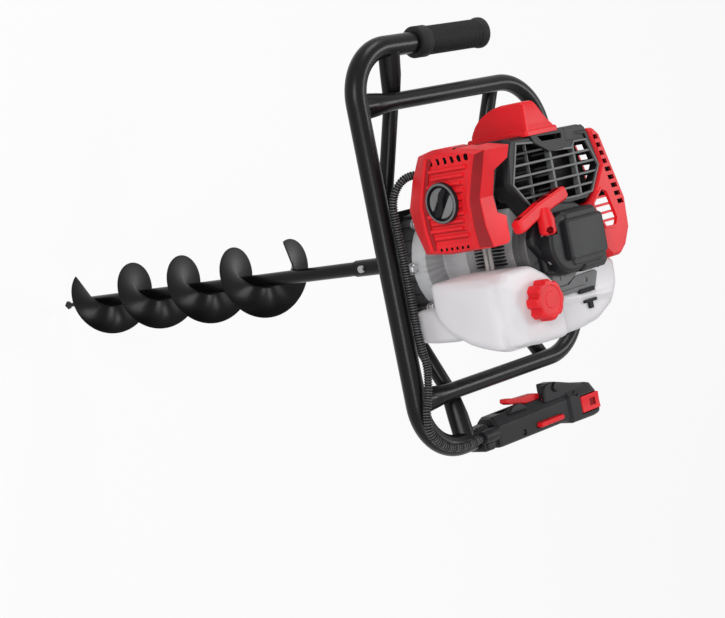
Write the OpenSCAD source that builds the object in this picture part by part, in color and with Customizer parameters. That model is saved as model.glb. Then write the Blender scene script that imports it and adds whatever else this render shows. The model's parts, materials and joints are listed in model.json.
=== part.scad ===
// One-man earth auger: tube frame with two grips, two-stroke engine, reduction gearbox and soil auger.
// Z runs up the drive axis. The origin is on that axis, in the middle of the gearbox's nose.
// +Y points away from the main bar, towards the hoop's far side. Units are millimetres.

/* [Frame] */
// Distance between the centre lines of the two handle legs
handle_span = 466; // [440:1:520]
// How far the frame's middle lies to the filter side of the drive axis
frame_shift = 22; // [10:1:30]
// Height of the frame's tubes above the origin
frame_z = 65; // [60:1:70]
// Distance from the drive axis to the main bar
bar_offset = 130; // [128:1:150]
// Outside diameter of the main bar
bar_d = 25; // [22:0.5:28]
// Wall of the frame's tubes
tube_wall = 2; // [1.5:0.5:3]
// Bend radius of the main bar's corners
bar_bend_r = 60; // [50:1:70]
// Distance between the centre lines of the hoop's sides
hoop_span = 340; // [320:1:360]
// Distance from the drive axis to the hoop's far bar
hoop_reach = 176; // [172:1:200]
// Outside diameter of the hoop
hoop_d = 20; // [16:0.5:24]
// Bend radius of the hoop's corners
hoop_bend_r = 66; // [50:1:80]
// Outside diameter of the braces and arms
brace_d = 18; // [14:0.5:20]
// Thickness of the engine mount plate
plate_t = 6; // [5:0.5:7]

/* [Grips] */
// Length of the rubber grip
grip_len = 118; // [100:1:130]
// Outside diameter of the rubber grip
grip_d = 34; // [32:0.5:38]
// Outside diameter of the throttle grip's barrel
throttle_d = 36; // [34:0.5:40]
// Width of the throttle grip's head
head_w = 50; // [48:1:58]
// Thickness of the throttle grip's head
head_t = 36; // [32:1:40]
// Outside diameter of the ribbed cable sleeve
sleeve_d = 10; // [8:0.5:11]
// Ribs on the cable sleeve
sleeve_ribs = 140; // [40:1:160]

/* [Auger] */
// Diameter of the hole that the auger digs
auger_d = 100; // [80:1:120]
// Outside diameter of the auger's tube
auger_tube_d = 18; // [17:0.5:20]
// Rise of the flight in one turn
flight_pitch = 117; // [90:1:130]
// Turns of the flight
flight_turns = 3.96; // [2:0.02:4.4]
// Thickness of the flight
flight_t = 3; // [2:0.5:4]
// Depth of the flight's upper end below the origin
flight_top = 241; // [220:1:260]
// Depth of the point below the origin
auger_reach = 781; // [770:1:860]
// Outside diameter of the auger's socket
socket_d = 21; // [20:0.5:24]

/* [Drive] */
// Diameter of the output shaft in its bearings
output_d = 17; // [15:0.5:18]
// Diameter of the output shaft's drive end
drive_end_d = 14; // [12:0.5:15]
// Outside diameter of the gearbox
gearbox_d = 130; // [128:1:140]
// Outside diameter of the gearbox's nose
nose_d = 50; // [48:1:54]
// Outside diameter of the clutch drum
drum_d = 78; // [74:1:80]

/* [Engine] */
// Cylinder bore
bore_d = 44; // [40:0.5:46]
// Piston stroke
stroke = 32; // [28:1:34]
// Wall of the moulded covers
cover_wall = 2.5; // [2:0.5:3]
// Wall of the fuel tank
tank_wall = 2.5; // [2:0.5:3]
// Diameter of the fuel cap over its lobes
cap_d = 46; // [42:1:50]
// Diameter of the filter cover's knob
knob_d = 44; // [40:1:48]
// Length of the starter handle
handle_len = 94; // [84:1:100]

/* [Hidden] */
$fn = 64;

// Clearances: parts welded or bolted together, running fits, and free moving pieces
seat_gap = 0.1;
run_gap = 0.05;
free_gap = 0.5;

// Frame places
bar_r = bar_d / 2;
hoop_r = hoop_d / 2;
brace_r = brace_d / 2;
leg_x = handle_span / 2;
side_x = hoop_span / 2;
under_hoop = hoop_r + brace_r + 2 * free_gap;
grip_leg_end = 92;
throttle_leg_end = 0;
plate_half_x = 66;
plate_half_y = 95;
brace_leg_y = -66;
brace_hoop_y = -56;
brace_plate_y = -80;
arm_hoop_y = 122;
arm_plate_y = 78;

// Levels along the drive axis, from the nose up
nose_half = 13;
plate_z = nose_half;
// Shoulder on the nose, which centres it in the mount plate
shoulder_d = nose_d + 8;
base_z = plate_z + plate_t;
base_h = 32;
floor_t = 6;
cover_z = base_z + base_h;
cover_h = 22;
gear_wall = 5;
roof_t = 6;
clutch_z = cover_z + cover_h;
clutch_h = 42;
case_z = clutch_z + clutch_h;
case_h = 64;
crank_mid = case_z + case_h / 2;
case_top = case_z + case_h;
starter_z = case_top;
starter_h = 46;
starter_face = starter_z + starter_h;

// Gear pairs, fixed by the reduction, and their places
module_1 = 1;
pinion_teeth = 14;
idler_teeth = 61;
small_teeth = 14;
output_teeth = 46;
gear_centre = module_1 * (pinion_teeth + idler_teeth) / 2;
module_2 = 2 * gear_centre / (small_teeth + output_teeth);
idler_angle = -90;
idler_x = gear_centre * cos(idler_angle);
idler_y = gear_centre * sin(idler_angle);
gearbox_y = -14;
low_gear_z = base_z + floor_t + 4;
low_gear_h = 12;
high_gear_z = low_gear_z + low_gear_h + 4;
high_gear_h = 10;
tooth_top = 0.8;
tooth_root = 1.05;
pressure_angle = 20;
backlash = 0.16;
idler_shaft_d = 10;
pinion_shaft_d = 12;

// Bearings: outside diameter and width
out_bearing = [40, 12];
idler_bearing = [26, 7];
pinion_bearing = [28, 8];
crank_bearing = [35, 11];

// Engine places
crank_r = stroke / 2;
web_r = 26;
crank_d = 15;
crankpin_d = 12;
deck_x = -50;
head_x = -97;
cylinder_top = -120;
rod_w = 9;
piston_pin_x = -44;
starter_r = 49;
pulley_r = 29;
rope_d = 3.5;
rope_z = starter_z + 34;

// A round bar between two points
module rod_between(p, q, r) {
    v = q - p;
    l = norm(v);
    translate(p)
        rotate([0, acos(v[2] / l), atan2(v[1], v[0])])
            cylinder(h = l, r = r);
}

// A ring about Z
module ring(outer, inner, h) {
    difference() {
        cylinder(h = h, r = outer);
        translate([0, 0, -1]) cylinder(h = h + 2, r = inner);
    }
}

// A box given by two opposite corners
module span(low, high) {
    translate(low) cube(high - low);
}

module at_frame() {
    translate([-frame_shift, 0, frame_z]) children();
}

module both_sides() {
    children();
    mirror([1, 0, 0]) children();
}

// Frame tubes
module bar_path(r, grow) {
    straight = leg_x - bar_bend_r;
    corner_y = bar_bend_r - bar_offset;
    translate([-straight, -bar_offset, 0]) rotate([0, 90, 0]) cylinder(h = 2 * straight, r = r);
    translate([-straight, corner_y, 0]) rotate(180) rotate_extrude(angle = 90)
        translate([bar_bend_r, 0]) circle(r);
    translate([straight, corner_y, 0]) rotate(270) rotate_extrude(angle = 90) translate([bar_bend_r, 0])
        circle(r);
    translate([-leg_x, corner_y, 0]) rotate([-90, 0, 0])
        cylinder(h = grip_leg_end - corner_y + grow, r = r);
    translate([leg_x, corner_y, 0]) rotate([-90, 0, 0])
        cylinder(h = throttle_leg_end - corner_y + grow, r = r);
}

module handlebar() color("#17181a") at_frame() difference() {
    bar_path(bar_r, 0);
    bar_path(bar_r - tube_wall, 1);
}

module hoop_path(r) {
    straight = side_x - hoop_bend_r;
    corner_y = hoop_reach - hoop_bend_r;
    translate([-straight, hoop_reach, 0]) rotate([0, 90, 0]) cylinder(h = 2 * straight, r = r);
    translate([-straight, corner_y, 0]) rotate(90) rotate_extrude(angle = 90)
        translate([hoop_bend_r, 0]) circle(r);
    translate([straight, corner_y, 0]) rotate_extrude(angle = 90) translate([hoop_bend_r, 0]) circle(r);
    both_sides() translate([side_x, -bar_offset, 0]) rotate([-90, 0, 0])
        cylinder(h = corner_y + bar_offset, r = r);
}

module hoop() color("#17181a") at_frame() difference() {
    hoop_path(hoop_r);
    hoop_path(hoop_r - tube_wall);
    bar_path(bar_r + seat_gap, 0);
}

sleeve_taper = 42;
sleeve_wall = 4.5;

module hoop_sleeves() color("#17181a") at_frame() difference() {
    both_sides() translate([side_x, -bar_offset, 0]) rotate([-90, 0, 0])
        cylinder(h = sleeve_taper, r1 = hoop_r + sleeve_wall, r2 = hoop_r + 0.6);
    both_sides() translate([side_x, -bar_offset - 1, 0]) rotate([-90, 0, 0])
        cylinder(h = sleeve_taper + 2, r = hoop_r + seat_gap);
    bar_path(bar_r + seat_gap, 0);
}

module front_braces() color("#17181a") at_frame() {
    plate_x = plate_half_x + seat_gap;
    low_z = plate_z + plate_t / 2 - frame_z;
    for (s = [-1, 1]) {
        at_leg = [s * leg_x, brace_leg_y, 0];
        at_hoop = [s * side_x, brace_hoop_y, -under_hoop];
        at_plate = [s * (plate_half_x - brace_d) + frame_shift, brace_plate_y, low_z];
        past_hoop = at_hoop + brace_r * unit(at_hoop - at_plate);
        difference() {
            rod_between(past_hoop, at_plate, brace_r);
            translate([frame_shift - plate_x, -bar_offset, -2 * frame_z])
                cube([2 * plate_x, 2 * bar_offset, 2 * frame_z]);
        }
        difference() {
            rod_between(at_leg, at_hoop, brace_r - 1);
            translate([s * leg_x, -bar_offset, 0]) rotate([-90, 0, 0])
                cylinder(h = 2 * bar_offset, r = bar_r + seat_gap);
            rod_between(past_hoop, at_plate, brace_r + seat_gap);
        }
    }
}

module rear_arms() color("#17181a") at_frame() {
    plate_x = plate_half_x + seat_gap;
    low_z = plate_z + plate_t / 2 - frame_z;
    for (s = [-1, 1]) difference() {
        rod_between([s * (side_x + hoop_r / 2), arm_hoop_y, -under_hoop + 1],
            [s * plate_half_x + frame_shift - s * brace_d, arm_plate_y, low_z], brace_r);
        translate([frame_shift - plate_x, -bar_offset, -2 * frame_z])
            cube([2 * plate_x, 2 * bar_offset, 2 * frame_z]);
    }
}

plate_bolt_r = 4;
bolt_ring_r = gearbox_d / 2 - 12;

module bolt_places() {
    for (a = [20, 160, 200, 340])
        translate([bolt_ring_r * cos(a), gearbox_y + bolt_ring_r * sin(a), 0]) children();
}

module mount_plate() color("#1d1e20") difference() {
    span([-plate_half_x, -plate_half_y, plate_z], [plate_half_x, plate_half_y, base_z]);
    translate([0, 0, plate_z - 1]) cylinder(h = plate_t + 2, d = shoulder_d + 2 * seat_gap);
    bolt_places() translate([0, 0, plate_z - 1]) cylinder(h = plate_t + 2, r = plate_bolt_r + seat_gap);
}

bolt_depth = 12;

module plate_bolts() color("#8f9194") bolt_places() {
    translate([0, 0, plate_z - 5.5]) cylinder(h = 5.5, r = 6.5, $fn = 6);
    translate([0, 0, plate_z - 0.5]) cylinder(h = plate_t + bolt_depth, r = plate_bolt_r);
}

// Left grip
collar_len = 14;
flange_len = 10;
collar_r = grip_d / 2 + 1.5;

module foam_grip() color("#232427") translate([-frame_shift - leg_x, grip_leg_end + 4 - grip_len, frame_z])
    rotate([-90, 0, 0]) difference() {
        union() {
            cylinder(h = grip_len - 4, r = grip_d / 2);
            cylinder(h = collar_len, r = collar_r);
            translate([0, 0, grip_len - flange_len])
                cylinder(h = flange_len - 4, r1 = collar_r - 1, r2 = collar_r);
            translate([0, 0, grip_len - 4]) cylinder(h = 4, r1 = collar_r, r2 = collar_r - 4);
        }
        translate([0, 0, -1]) cylinder(h = grip_len - 3 + seat_gap, r = bar_r + seat_gap);
    }

// Throttle grip, with its pieces in the frame's own coordinates
clamp_y = -45;
head_y = 74;
head_end = 166;
head_low = -26;
pocket_half = 6.5;
trigger_pivot = [-17, 70];
trigger_pin_r = 2.5;
switch_size = [24, 30, 7];
switch_place = [4, 150];
lock_place = [8, 68];
lock_size = [7, 44, 6];
boss_y = -48;
boss_r = 8;
cable_rise = 19;

module at_throttle() {
    translate([leg_x - frame_shift, 0, frame_z]) children();
}

module head_outline() {
    high = head_w + head_low;
    polygon([[head_low, head_y + 48], [head_low - 8, head_y + 42], [head_low - 9, head_y + 28],
        [head_low, head_y + 14], [head_low + 12, head_y],
        [high - 12, head_y - 6], [high - 4, head_y + 20], [high, head_end - 6], [high - 6, head_end],
        [head_low + 16, head_end], [head_low + 8, head_end - 12]]);
}

module throttle_body() difference() {
    union() {
        translate([0, clamp_y, 0]) rotate([-90, 0, 0]) cylinder(h = head_y + 20 - clamp_y, d = throttle_d);
        translate([0, 0, -head_t / 2]) linear_extrude(head_t) head_outline();
        translate([-2, boss_y, cable_rise]) rotate([-90, 0, 0]) cylinder(h = 40, r = boss_r);
    }
    translate([0, clamp_y - 10, 0]) rotate([-90, 0, 0])
        cylinder(h = throttle_leg_end - clamp_y + 10 + seat_gap, r = bar_r + seat_gap);
    span([-throttle_d, -4, -pocket_half], [-6, head_y + 6, pocket_half]);
    span([-8, 8, -pocket_half], [10, head_y, pocket_half]);
    translate([switch_place[0] - switch_size[0] / 2, switch_place[1] - switch_size[1] / 2,
        head_t / 2 - switch_size[2]])
        cube(switch_size);
    translate([lock_place[0] - lock_size[0] / 2, lock_place[1] - lock_size[1] / 2, head_t / 2 - 9])
        cube([lock_size[0], lock_size[1], 12]);
}

module throttle_shell_front() color("#202124") at_throttle() difference() {
    intersection() {
        throttle_body();
        span([-80, -80, seat_gap / 2], [80, 200, 60]);
    }
    translate([trigger_pivot[0], trigger_pivot[1], 0])
        cylinder(h = pocket_half + 5, r = trigger_pin_r + run_gap);
}

module throttle_shell_back() color("#202124") at_throttle() difference() {
    intersection() {
        throttle_body();
        span([-80, -80, -60], [80, 200, -seat_gap / 2]);
    }
    translate([trigger_pivot[0], trigger_pivot[1], -pocket_half - 5])
        cylinder(h = pocket_half + 5, r = trigger_pin_r + run_gap);
}

module throttle_trigger() color("#d3121c") at_throttle() {
    t = pocket_half - free_gap;
    px = trigger_pivot[0];
    py = trigger_pivot[1];
    translate([0, 0, -t]) linear_extrude(2 * t)
        polygon([[px - 4, py + 5], [px - 11, py - 6], [px - 12, py - 40], [px - 13, py - 58],
            [px - 8, py - 58], [px - 4, py - 36], [px + 4, py - 6], [px + 4, py + 4]]);
    translate([px, py, -pocket_half - 4.5]) cylinder(h = 2 * pocket_half + 9, r = trigger_pin_r);
}

module throttle_lock() color("#d3121c") at_throttle()
    translate([lock_place[0] - lock_size[0] / 2 + 0.3, lock_place[1] - lock_size[1] / 2 + 0.3,
        head_t / 2 - 5])
        cube([lock_size[0] - 0.6, lock_size[1] - 0.6, 6.5]);

module stop_switch() color("#d3121c") at_throttle()
    translate([switch_place[0], switch_place[1], head_t / 2 - 3.2]) rotate([90, 0, 0])
        translate([0, 0, -switch_size[1] / 2 + 0.6]) linear_extrude(switch_size[1] - 1.2)
            polygon([[-10, 0.8], [-3, -2.2], [3, -2.2], [10, 0.8], [10.2, 5.2], [0, 3.6], [-10.2, 5.2]]);

// Ribbed cable sleeve along the main bar, in the frame's own coordinates shifted to the drive axis
sleeve_route = [[209, -48, 84], [209, -60, 84], [209, -92, 85], [201, -119, 86], [182, -137, 86], [160,
    -137, 86],
    [140, -129, 85], [110, -121, 84], [71, -124, 84], [30, -124, 84], [-14, -124, 84], [-52, -125, 84],
    [-82, -124, 86], [-101, -113, 92], [-106, -96, 99], [-98, -80, 108], [-84, -67, 117],
    [-74, -62, 126], [-74, -62, 137.6]];
sleeve_sides = 8;

function route_at(t) =
    let (n = len(sleeve_route) - 1, i = min(floor(t * n), n - 1), u = t * n - i,
        a = sleeve_route[max(i - 1, 0)], b = sleeve_route[i],
        c = sleeve_route[i + 1], d = sleeve_route[min(i + 2, n)])
    0.5 * (2 * b + (c - a) * u + (2 * a - 5 * b + 4 * c - d) * u * u + (3 * b - a - 3 * c + d) * u * u * u);

function unit(v) = v / norm(v);
function route_dir(t) = unit(route_at(min(t + 0.002, 1)) - route_at(max(t - 0.002, 0)));

// A closed ring of points about the route at t
function route_ring(t, r) =
    let (p = route_at(t), d = route_dir(t), u = unit(cross([0, 0, 1], d)), w = cross(d, u))
    [for (k = [0 : sleeve_sides - 1])
        p + r * (cos(360 * k / sleeve_sides) * u + sin(360 * k / sleeve_sides) * w)];

function ring_faces(a, b, flip) = [for (k = [0 : sleeve_sides - 1])
    let (n = (k + 1) % sleeve_sides, p = a + k, q = a + n, r = b + k, s = b + n)
    each (flip ? [[p, q, r], [q, s, r]] : [[p, r, q], [q, r, s]])];

module throttle_conduit() color("#1b1c1e") {
    rib_r = sleeve_d / 2;
    root_r = rib_r - 0.9;
    bore_r = root_r - 1.1;
    end = 0.022;
    outer_t = [0, for (k = [0 : sleeve_ribs - 1], h = [0.2, 0.7])
        end + (1 - 2 * end) * (k + h) / sleeve_ribs, 1];
    inner_t = [for (k = [0 : sleeve_ribs]) k / sleeve_ribs];
    no = len(outer_t);
    ni = len(inner_t);
    outer = [for (i = [0 : no - 1])
        each route_ring(outer_t[i], i == 0 || i == no - 1 || i % 2 == 0 ? root_r : rib_r)];
    inner = [for (t = inner_t) each route_ring(t, bore_r)];
    base = no * sleeve_sides;
    polyhedron(concat(outer, inner), concat(
        [for (i = [0 : no - 2]) each ring_faces(i * sleeve_sides, (i + 1) * sleeve_sides, false)],
        [for (i = [0 : ni - 2]) each ring_faces(base + i * sleeve_sides, base + (i + 1) * sleeve_sides,
            true)],
        ring_faces(0, base, true),
        ring_faces((no - 1) * sleeve_sides, base + (ni - 1) * sleeve_sides, false)));
}

// Gears: involute flanks, tooth number zero centred on +X
function involute_point(base_r, r) =
    let (a = acos(base_r / r))
    tan(a) * 180 / PI - a;

function tooth_side(teeth, m, side) =
    let (pitch_r = m * teeth / 2, base_r = pitch_r * cos(pressure_angle),
        top_r = pitch_r + tooth_top * m, low_r = max(base_r + 0.01, pitch_r - tooth_root * m),
        half = 90 / teeth - backlash * 90 / (PI * pitch_r) + involute_point(base_r, pitch_r))
    [for (k = [0 : 3]) let (r = low_r + (top_r - low_r) * k / 3,
        a = side * (half - involute_point(base_r, r)))
        r * [cos(a), sin(a)]];

function turned(p, a) = [p[0] * cos(a) - p[1] * sin(a), p[0] * sin(a) + p[1] * cos(a)];

module gear_outline(teeth, m) {
    root_r = m * teeth / 2 - tooth_root * m;
    polygon([for (i = [0 : teeth - 1])
        let (a = 360 * i / teeth, low = tooth_side(teeth, m, -1), up = tooth_side(teeth, m, 1))
        each concat([turned(root_r * unit(low[0]), a)], [for (k = [0 : 3]) turned(low[k], a)],
            [for (k = [0 : 3]) turned(up[3 - k], a)], [turned(root_r * unit(up[0]), a)])]);
}

module output_gear() color("#9a9c9f") difference() {
    union() {
        translate([0, 0, low_gear_z]) rotate(idler_angle + 180 / output_teeth)
            linear_extrude(low_gear_h) gear_outline(output_teeth, module_2);
        translate([0, 0, low_gear_z - 3.7]) cylinder(h = 3.8, r = 14);
    }
    translate([0, 0, low_gear_z - 10]) cylinder(h = low_gear_h + 20, d = output_d + 2 * seat_gap);
}

drive_end_z = -124;

module output_shaft() color("#a5a7aa") difference() {
    union() {
        translate([0, 0, -nose_half - 4])
            cylinder(h = low_gear_z + low_gear_h + 1 + nose_half + 4, d = output_d);
        translate([0, 0, drive_end_z]) cylinder(h = -drive_end_z, d = drive_end_d);
    }
    translate([0, 0, pin_z]) rotate([90, 0, 0]) cylinder(h = 60, r = pin_r + seat_gap, center = true);
}

module idler_gear() color("#9a9c9f") translate([idler_x, idler_y, 0]) {
    translate([0, 0, high_gear_z]) rotate(idler_angle + 180 + 180 / idler_teeth)
        linear_extrude(high_gear_h) gear_outline(idler_teeth, module_1);
    translate([0, 0, low_gear_z - 1]) rotate(idler_angle + 180)
        linear_extrude(high_gear_z - low_gear_z + 1.5) gear_outline(small_teeth, module_2);
    translate([0, 0, idler_low_z + 0.3])
        cylinder(h = idler_high_z + idler_bearing[1] - idler_low_z - 0.6, d = idler_shaft_d);
}

module pinion_shaft() color("#9a9c9f") {
    translate([0, 0, high_gear_z - 1.5]) rotate(idler_angle)
        linear_extrude(high_gear_h + 3) gear_outline(pinion_teeth, module_1);
    translate([0, 0, high_gear_z + high_gear_h])
        cylinder(h = drum_z + 6 - high_gear_z - high_gear_h, d = pinion_shaft_d);
}

// Soil auger
pin_z = -106;
pin_r = 3;
socket_z = -62;
socket_len = 63;
point_len = 44;
point_r = 3;

module auger_tube() color("#141517") {
    difference() {
        translate([0, 0, socket_z - socket_len]) cylinder(h = socket_len, d = socket_d);
        translate([0, 0, socket_z - socket_len])
            cylinder(h = socket_len + 1, d = drive_end_d + 2 * seat_gap);
        translate([0, 0, pin_z]) rotate([90, 0, 0]) cylinder(h = 60, r = pin_r + seat_gap, center = true);
    }
    tube_end = point_len - auger_reach;
    translate([0, 0, tube_end]) cylinder(h = socket_z - socket_len - tube_end, d = auger_tube_d);
}

flight_steps = 50;
flight_end_angle = 194;

function flight_ring(i) =
    let (turn = i / flight_steps, a = flight_end_angle + 360 * (turn - flight_turns),
        z = flight_pitch * (turn - flight_turns) - flight_top,
        n = flight_t / 2, c = [cos(a), sin(a)], inner = auger_tube_d / 2 + seat_gap, outer = auger_d / 2)
    [[inner * c[0], inner * c[1], z - n], [outer * c[0], outer * c[1], z - n],
        [outer * c[0], outer * c[1], z + n], [inner * c[0], inner * c[1], z + n]];

module auger_flight() color("#141517") {
    n = floor(flight_turns * flight_steps);
    points = [for (i = [0 : n]) each flight_ring(i)];
    sides = [for (i = [0 : n - 1], k = [0 : 3]) let (p = 4 * i + k, q = 4 * i + (k + 1) % 4)
        each [[p, q, p + 4], [q, q + 4, p + 4]]];
    polyhedron(points, concat([[0, 3, 1], [1, 3, 2]], sides, [[4 * n, 4 * n + 1, 4 * n + 3], [4 * n + 1,
        4 * n + 2, 4 * n + 3]]));
}

module auger_point() color("#141517") translate([0, 0, -auger_reach]) {
    translate([0, 0, 4]) cylinder(h = point_len - 16, r = point_r);
    translate([0, 0, point_len - 14]) cylinder(h = 14, r1 = point_r, r2 = auger_tube_d / 2);
    rotate([90, 0, 0]) linear_extrude(4, center = true)
        polygon([[0, 0], [6, 7], [4, 12], [-4, 12], [-6, 7]]);
}

module coupling_bolt() color("#c2c4c6") translate([0, 0, pin_z]) rotate([90, 0, 0]) {
    half = socket_d / 2 + 1;
    translate([0, 0, -half]) cylinder(h = 2 * half, r = pin_r);
    translate([0, 0, half - 0.8]) cylinder(h = 3.5, r = 4.5);
    translate([0, 0, -half - 3]) cylinder(h = 3.8, r = 5.2, $fn = 6);
}

// Gearbox
boss_wall = 4;
idler_low_z = base_z + 1.5;

module gearbox_base() color("#26282b") difference() {
    union() {
        translate([0, gearbox_y, base_z]) cylinder(h = base_h, d = gearbox_d);
        translate([0, 0, -nose_half]) cylinder(h = 2 * nose_half + plate_t + 1, d = nose_d);
        translate([0, 0, plate_z]) cylinder(h = plate_t + 1, d = shoulder_d);
    }
    difference() {
        translate([0, gearbox_y, base_z + floor_t]) cylinder(h = base_h, d = gearbox_d - 2 * gear_wall);
        translate([idler_x, idler_y, base_z])
            cylinder(h = low_gear_z - 1.5 - base_z, d = idler_bearing[0] + 2 * boss_wall);
        bolt_places() translate([0, 0, base_z]) cylinder(h = bolt_depth, r = plate_bolt_r + 4);
    }
    translate([0, 0, -nose_half - 1]) cylinder(h = base_z + 40, d = output_d + 2);
    translate([0, 0, base_z + floor_t - out_bearing[1]])
        cylinder(h = out_bearing[1] + 1, d = out_bearing[0] + 2 * run_gap);
    translate([0, 0, -nose_half + 5]) cylinder(h = out_bearing[1], d = out_bearing[0] + 2 * run_gap);
    translate([0, 0, -nose_half - 1]) cylinder(h = 6.1, d = 35 + 2 * seat_gap);
    translate([idler_x, idler_y, idler_low_z]) cylinder(h = 30, d = idler_bearing[0] + 2 * run_gap);
    bolt_places() translate([0, 0, base_z - 1]) cylinder(h = bolt_depth + 1, r = plate_bolt_r + seat_gap);
}

idler_high_z = cover_z + cover_h - roof_t - idler_bearing[1];
pinion_low_z = cover_z + cover_h - roof_t;
pinion_high_z = pinion_low_z + pinion_bearing[1] + 3;
cover_boss_top = pinion_high_z + pinion_bearing[1];

module gearbox_cover() color("#26282b") difference() {
    union() {
        difference() {
            translate([0, gearbox_y, cover_z]) cylinder(h = cover_h, d = gearbox_d);
            translate([0, gearbox_y, cover_z - 1])
                cylinder(h = cover_h - roof_t + 1, d = gearbox_d - 2 * gear_wall);
        }
        translate([0, 0, pinion_low_z])
            cylinder(h = cover_boss_top - pinion_low_z, d = pinion_bearing[0] + 2 * boss_wall);
        translate([idler_x, idler_y, idler_high_z])
            cylinder(h = idler_bearing[1] + 1, d = idler_bearing[0] + 2 * boss_wall);
    }
    translate([0, 0, cover_z]) cylinder(h = 80, d = pinion_shaft_d + 2);
    translate([0, 0, pinion_low_z - 1])
        cylinder(h = pinion_bearing[1] + 1, d = pinion_bearing[0] + 2 * run_gap);
    translate([0, 0, pinion_high_z])
        cylinder(h = pinion_bearing[1] + 1, d = pinion_bearing[0] + 2 * run_gap);
    translate([idler_x, idler_y, idler_high_z - 1])
        cylinder(h = idler_bearing[1] + 1, d = idler_bearing[0] + 2 * run_gap);
}

module bearing(size, inner_d) {
    ring(size[0] / 2, inner_d / 2 + run_gap, size[1]);
}

module gear_bearings() color("#b9bbbe") {
    translate([0, 0, base_z + floor_t - out_bearing[1]]) bearing(out_bearing, output_d);
    translate([0, 0, -nose_half + 5]) bearing(out_bearing, output_d);
    translate([idler_x, idler_y, idler_low_z]) bearing(idler_bearing, idler_shaft_d);
    translate([idler_x, idler_y, idler_high_z]) bearing(idler_bearing, idler_shaft_d);
    translate([0, 0, pinion_low_z]) bearing(pinion_bearing, pinion_shaft_d);
    translate([0, 0, pinion_high_z]) bearing(pinion_bearing, pinion_shaft_d);
}

module output_seal() color("#15161a") translate([0, 0, -nose_half]) ring(17.5, output_d / 2 + run_gap, 5);

// Centrifugal clutch
drum_z = cover_boss_top + 1;
drum_h = 20;
drum_wall = 2.5;

module clutch_drum() color("#8b8d90") difference() {
    translate([0, 0, drum_z]) cylinder(h = drum_h, d = drum_d);
    translate([0, 0, drum_z + 4]) cylinder(h = drum_h, d = drum_d - 2 * drum_wall);
    translate([0, 0, drum_z - 1]) cylinder(h = drum_h, d = pinion_shaft_d + 2 * seat_gap);
}

module clutch_shoes() color("#6d6f72") {
    shoe_z = drum_z + 7;
    outer = drum_d / 2 - drum_wall - 0.8;
    difference() {
        translate([0, 0, shoe_z]) ring(outer, 14, 12);
        translate([-outer, -2, shoe_z - 1]) cube([2 * outer, 4, 14]);
    }
    translate([0, 0, shoe_z]) ring(13.5, crank_d / 2 - 1.5 + seat_gap, 12);
}

housing_r = 50;

module clutch_housing() color("#b4b6b8") difference() {
    union() {
        translate([0, 0, clutch_z]) cylinder(h = clutch_h, r = housing_r);
        translate([0, 0, case_z - 6]) cylinder(h = 6, r = housing_r + 6);
    }
    translate([0, 0, clutch_z - 1]) cylinder(h = clutch_h - 5, r = housing_r - 5);
    translate([0, 0, clutch_z]) cylinder(h = clutch_h + 1, r = crank_d / 2 + 4);
}

// Crankcase and crank
case_half = 47;

module case_outline() {
    circle(case_half);
    translate([deck_x, -case_half + 4]) square([-deck_x, 2 * case_half - 8]);
}

module crankcase(z, h) {
    difference() {
        translate([0, 0, z]) linear_extrude(h) case_outline();
        translate([0, 0, case_z + 12]) cylinder(h = case_h - 24, r = web_r + 5);
        translate([0, 0, case_z - 1]) cylinder(h = case_h + 2, d = crank_d + 4);
        translate([0, 0, case_z + 1]) cylinder(h = 12, d = crank_bearing[0] + 2 * run_gap);
        translate([0, 0, case_top - 13]) cylinder(h = 12, d = crank_bearing[0] + 2 * run_gap);
        translate([0, 0, crank_mid]) rotate([0, -90, 0]) cylinder(h = 80, d = bore_d + 1);
    }
}

module crankcase_front() color("#a9abad") crankcase(case_z, case_h / 2);

module crankcase_rear() color("#a9abad") crankcase(crank_mid, case_h / 2);

module crank_bearings() color("#b9bbbe") {
    translate([0, 0, case_z + 1]) bearing(crank_bearing, crank_d);
    translate([0, 0, case_top - 1 - crank_bearing[1]]) bearing(crank_bearing, crank_d);
}

web_t = 10;
crank_nose = 19;
rod_room = 11;

module crankshaft() color("#9a9c9f") {
    low = crank_mid - rod_room / 2 - web_t;
    high = crank_mid + rod_room / 2;
    for (z = [low, high]) translate([0, 0, z]) cylinder(h = web_t, r = web_r);
    translate([-crank_r, 0, low]) cylinder(h = 2 * web_t + rod_room, d = crankpin_d);
    translate([0, 0, drum_z + 7]) cylinder(h = low - drum_z - 7, d = crank_d - 3);
    translate([0, 0, case_z - 3]) cylinder(h = low - case_z + 3, d = crank_d);
    translate([0, 0, high + web_t]) cylinder(h = case_top + 4 - high - web_t, d = crank_d);
    translate([0, 0, case_top]) cylinder(h = crank_nose, d = crank_d - 5);
}

flywheel_z = case_top + 5;
flywheel_r = 44;
blade_count = 16;

module flywheel() color("#87898c") translate([0, 0, flywheel_z]) difference() {
    union() {
        cylinder(h = 7, r = flywheel_r);
        for (k = [0 : blade_count - 1]) rotate(360 * k / blade_count)
            translate([22, -1.2, 6]) cube([flywheel_r - 24, 2.4, 9]);
        cylinder(h = 14, r = 12);
    }
    translate([0, 0, -1]) cylinder(h = 20, d = crank_d - 5 + 2 * seat_gap);
}

module ignition_coil() color("#1a1b1d") {
    x = -flywheel_r - 1;
    span([x - 14, -16, case_top + seat_gap], [x - 0.2, 16, flywheel_z + 8]);
    span([x - 13, -9, flywheel_z + 7.9], [x - 3, 9, flywheel_z + 14]);
}

// Cylinder, piston and plug
fin_count = 8;
fin_t = 2.5;
fin_pitch = 8;
fin_half_y = 38;
fin_half_z = 36;

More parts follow.
